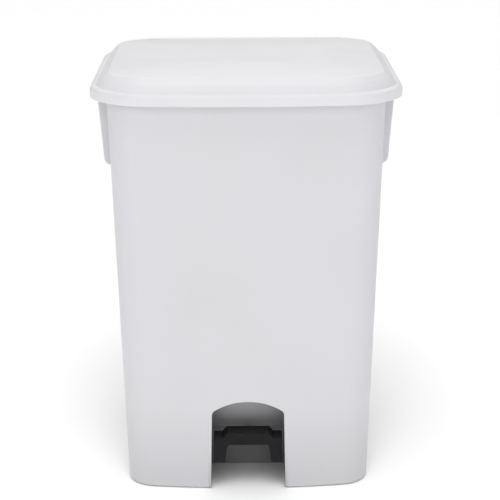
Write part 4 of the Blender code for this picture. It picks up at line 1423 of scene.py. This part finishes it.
# ------------------------------------------------------------------ pedal

FRONT_OUTLINE = (
    (-PEDAL_HALF, CHEEK_BOTTOM, 0.0010),
    (-CHEEK_INNER, CHEEK_BOTTOM, 0.0010),
    (-0.0292, LIP_BOTTOM - 0.004, 0.0015),
    (-0.0270, LIP_BOTTOM, 0.0015),
    (0.0270, LIP_BOTTOM, 0.0015),
    (0.0292, LIP_BOTTOM - 0.004, 0.0015),
    (CHEEK_INNER, CHEEK_BOTTOM, 0.0010),
    (PEDAL_HALF, CHEEK_BOTTOM, 0.0010),
    (PEDAL_HALF, SHOULDER_TOP, 0.0022),
    (0.0350, SHOULDER_TOP, 0.0015),
    (TREAD_HALF, TREAD_TOP, 0.0015),
    (-TREAD_HALF, TREAD_TOP, 0.0015),
    (-0.0350, SHOULDER_TOP, 0.0015),
    (-PEDAL_HALF, SHOULDER_TOP, 0.0022),
)
HOLLOW_OUTLINE = (
    (-PEDAL_HALF + 0.003, 0.0),
    (PEDAL_HALF - 0.003, 0.0),
    (PEDAL_HALF - 0.003, SHOULDER_TOP - 0.003, 0.001),
    (0.0338, SHOULDER_TOP - 0.003),
    (TREAD_HALF - 0.0012, TREAD_TOP - 0.003, 0.001),
    (-TREAD_HALF + 0.0012, TREAD_TOP - 0.003, 0.001),
    (-0.0338, SHOULDER_TOP - 0.003),
    (-PEDAL_HALF + 0.003, SHOULDER_TOP - 0.003, 0.001),
)
SIDE_TRIM = (
    (-0.150, 0.0),
    (-0.150, CHEEK_BOTTOM - 0.004),
    (-0.146, CHEEK_BOTTOM + 0.002, 0.004),
    (-0.095, 0.0600),
    (-0.09, 0.0),
)
pedal = extruded("pedal_bar", rounded(FRONT_OUTLINE, steps=5), "Y", PEDAL_FRONT, PEDAL_BACK)
ease(pedal, 0.0008, 3, 60, where=lambda p: p.y < PEDAL_FRONT + 0.0001)
cut(
    pedal,
    extruded("pedal_hollow", rounded(HOLLOW_OUTLINE), "Y", PEDAL_FRONT + 0.003, PEDAL_BACK + 0.01),
    extruded("pedal_trim", rounded(SIDE_TRIM), "X", -0.06, 0.06),
)
for side, low in (("left", -0.0060), ("right", 0.0028)):
    join(
        pedal,
        block(
            f"pedal_rib_{side}",
            (low, PEDAL_FRONT + 0.001, LIP_BOTTOM - 0.003),
            (low + 0.0032, PEDAL_BACK - 0.0006, TREAD_TOP - 0.001),
        ),
    )
RIB_TRIM = (
    (-0.170, 0.03), (-0.170, LIP_BOTTOM), (-0.1635, LIP_BOTTOM), (-0.1500, 0.0608), (-0.10, 0.0570), (-0.10, 0.03)
)
cut(pedal, extruded("rib_trim", RIB_TRIM, "X", -0.0075, 0.0075))
for index in range(3):
    front = -0.1600 + 0.008 * index
    ridge = extruded(
        f"tread_ridge_{index + 1}",
        rounded(
            (
                (front - 0.0004, TREAD_TOP - 0.001),
                (front, TREAD_TOP + 0.0007, 0.0006),
                (front + 0.003, TREAD_TOP + 0.0007, 0.0006),
                (front + 0.0034, TREAD_TOP - 0.001),
            ),
            steps=4,
        ),
        "X",
        -TREAD_HALF + 0.003,
        TREAD_HALF - 0.003,
    )
    join(pedal, ridge)
cut(pedal, rods("pedal_bolt_ways", "X", 0.0022, [((0, y, z), 0.03) for y, z in PEDAL_BOLTS], 24))
settle(pedal)
dress(pedal, "pedal", pedal_black)

for obj in helpers:
    bpy.data.objects.remove(obj)

# ------------------------------------------------------------------ floor, light and camera

floor_shape = bmesh.new()
bmesh.ops.create_grid(floor_shape, x_segments=24, y_segments=24, size=40.0)
floor = to_object("floor", floor_shape)
floor_finish = Finish("studio_floor", (0.93, 0.93, 0.93), 0.85)
floor_finish.tint(
    floor_finish.ramp(floor_finish.noise(0.8, 2.0), 0.4, 0.7, 0.0, 0.3), (0.92, 0.92, 0.925)
)
floor_finish.bump(floor_finish.noise(40.0, 2.0), 0.02, 0.001)
floor.data.materials.append(floor_finish.done())
floor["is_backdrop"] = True
floor_only = bpy.data.collections.new("floor_only")
floor_only.objects.link(floor)
not_floor = bpy.data.collections.new("not_floor")
not_floor.objects.link(floor)
not_floor.collection_objects[0].light_linking.link_state = "EXCLUDE"

world = bpy.data.worlds.new("studio")
scene.world = world
world.use_nodes = True
world.node_tree.nodes["Background"].inputs["Color"].default_value = (1.0, 1.0, 1.0, 1.0)
world.node_tree.nodes["Background"].inputs["Strength"].default_value = 0.45


def soft_light(name, azimuth, elevation, spread, strength):
    """A broad, distant soft light. Azimuth 0 is in front of the bin, 90 on its right."""
    light = bpy.data.lights.new(name, "SUN")
    light.energy = strength
    light.angle = math.radians(spread)
    obj = bpy.data.objects.new(name, light)
    scene.collection.objects.link(obj)
    a, e = math.radians(azimuth), math.radians(elevation)
    back = Vector((math.sin(a) * math.cos(e), -math.cos(a) * math.cos(e), math.sin(e)))
    obj.rotation_euler = back.to_track_quat("Z", "Y").to_euler()
    return obj


soft_light("top_light", 0, 85, 50, 1.02)
soft_light("left_light", -55, 35, 50, 0.18)
rear_light = soft_light("rear_light", 180, 43, 50, 0.66)
rear_light.light_linking.receiver_collection = not_floor
floor_light = soft_light("floor_light", 0, 60, 30, 1.05)
floor_light.light_linking.receiver_collection = floor_only

front = bpy.data.lights.new("front_light", "AREA")
front.shape = "RECTANGLE"
front.size, front.size_y = 1.6, 1.2
front.energy = 15.5
front_light = bpy.data.objects.new("front_light", front)
scene.collection.objects.link(front_light)
front_light.location = (0.0, -2.6, 1.6)
front_light.rotation_euler = (Vector((0, 0, 0.45)) - front_light.location).to_track_quat("-Z", "Y").to_euler()

camera_data = bpy.data.cameras.new("camera")
camera_data.lens = 114.27
camera_data.sensor_width = 36.0
camera_data.clip_end = 60.0
camera = bpy.data.objects.new("camera", camera_data)
scene.collection.objects.link(camera)
camera.location = (-0.0135, -2.1788, 0.928)
camera.matrix_world = (
    Matrix.Translation(camera.location)
    @ Matrix.Rotation(math.radians(-0.49), 4, "Z")
    @ Matrix.Rotation(math.radians(90 - 16.22), 4, "X")
    @ Matrix.Rotation(math.radians(-0.24), 4, "Z")
)
scene.camera = camera
scene.view_settings.view_transform = "Standard"

low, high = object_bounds()
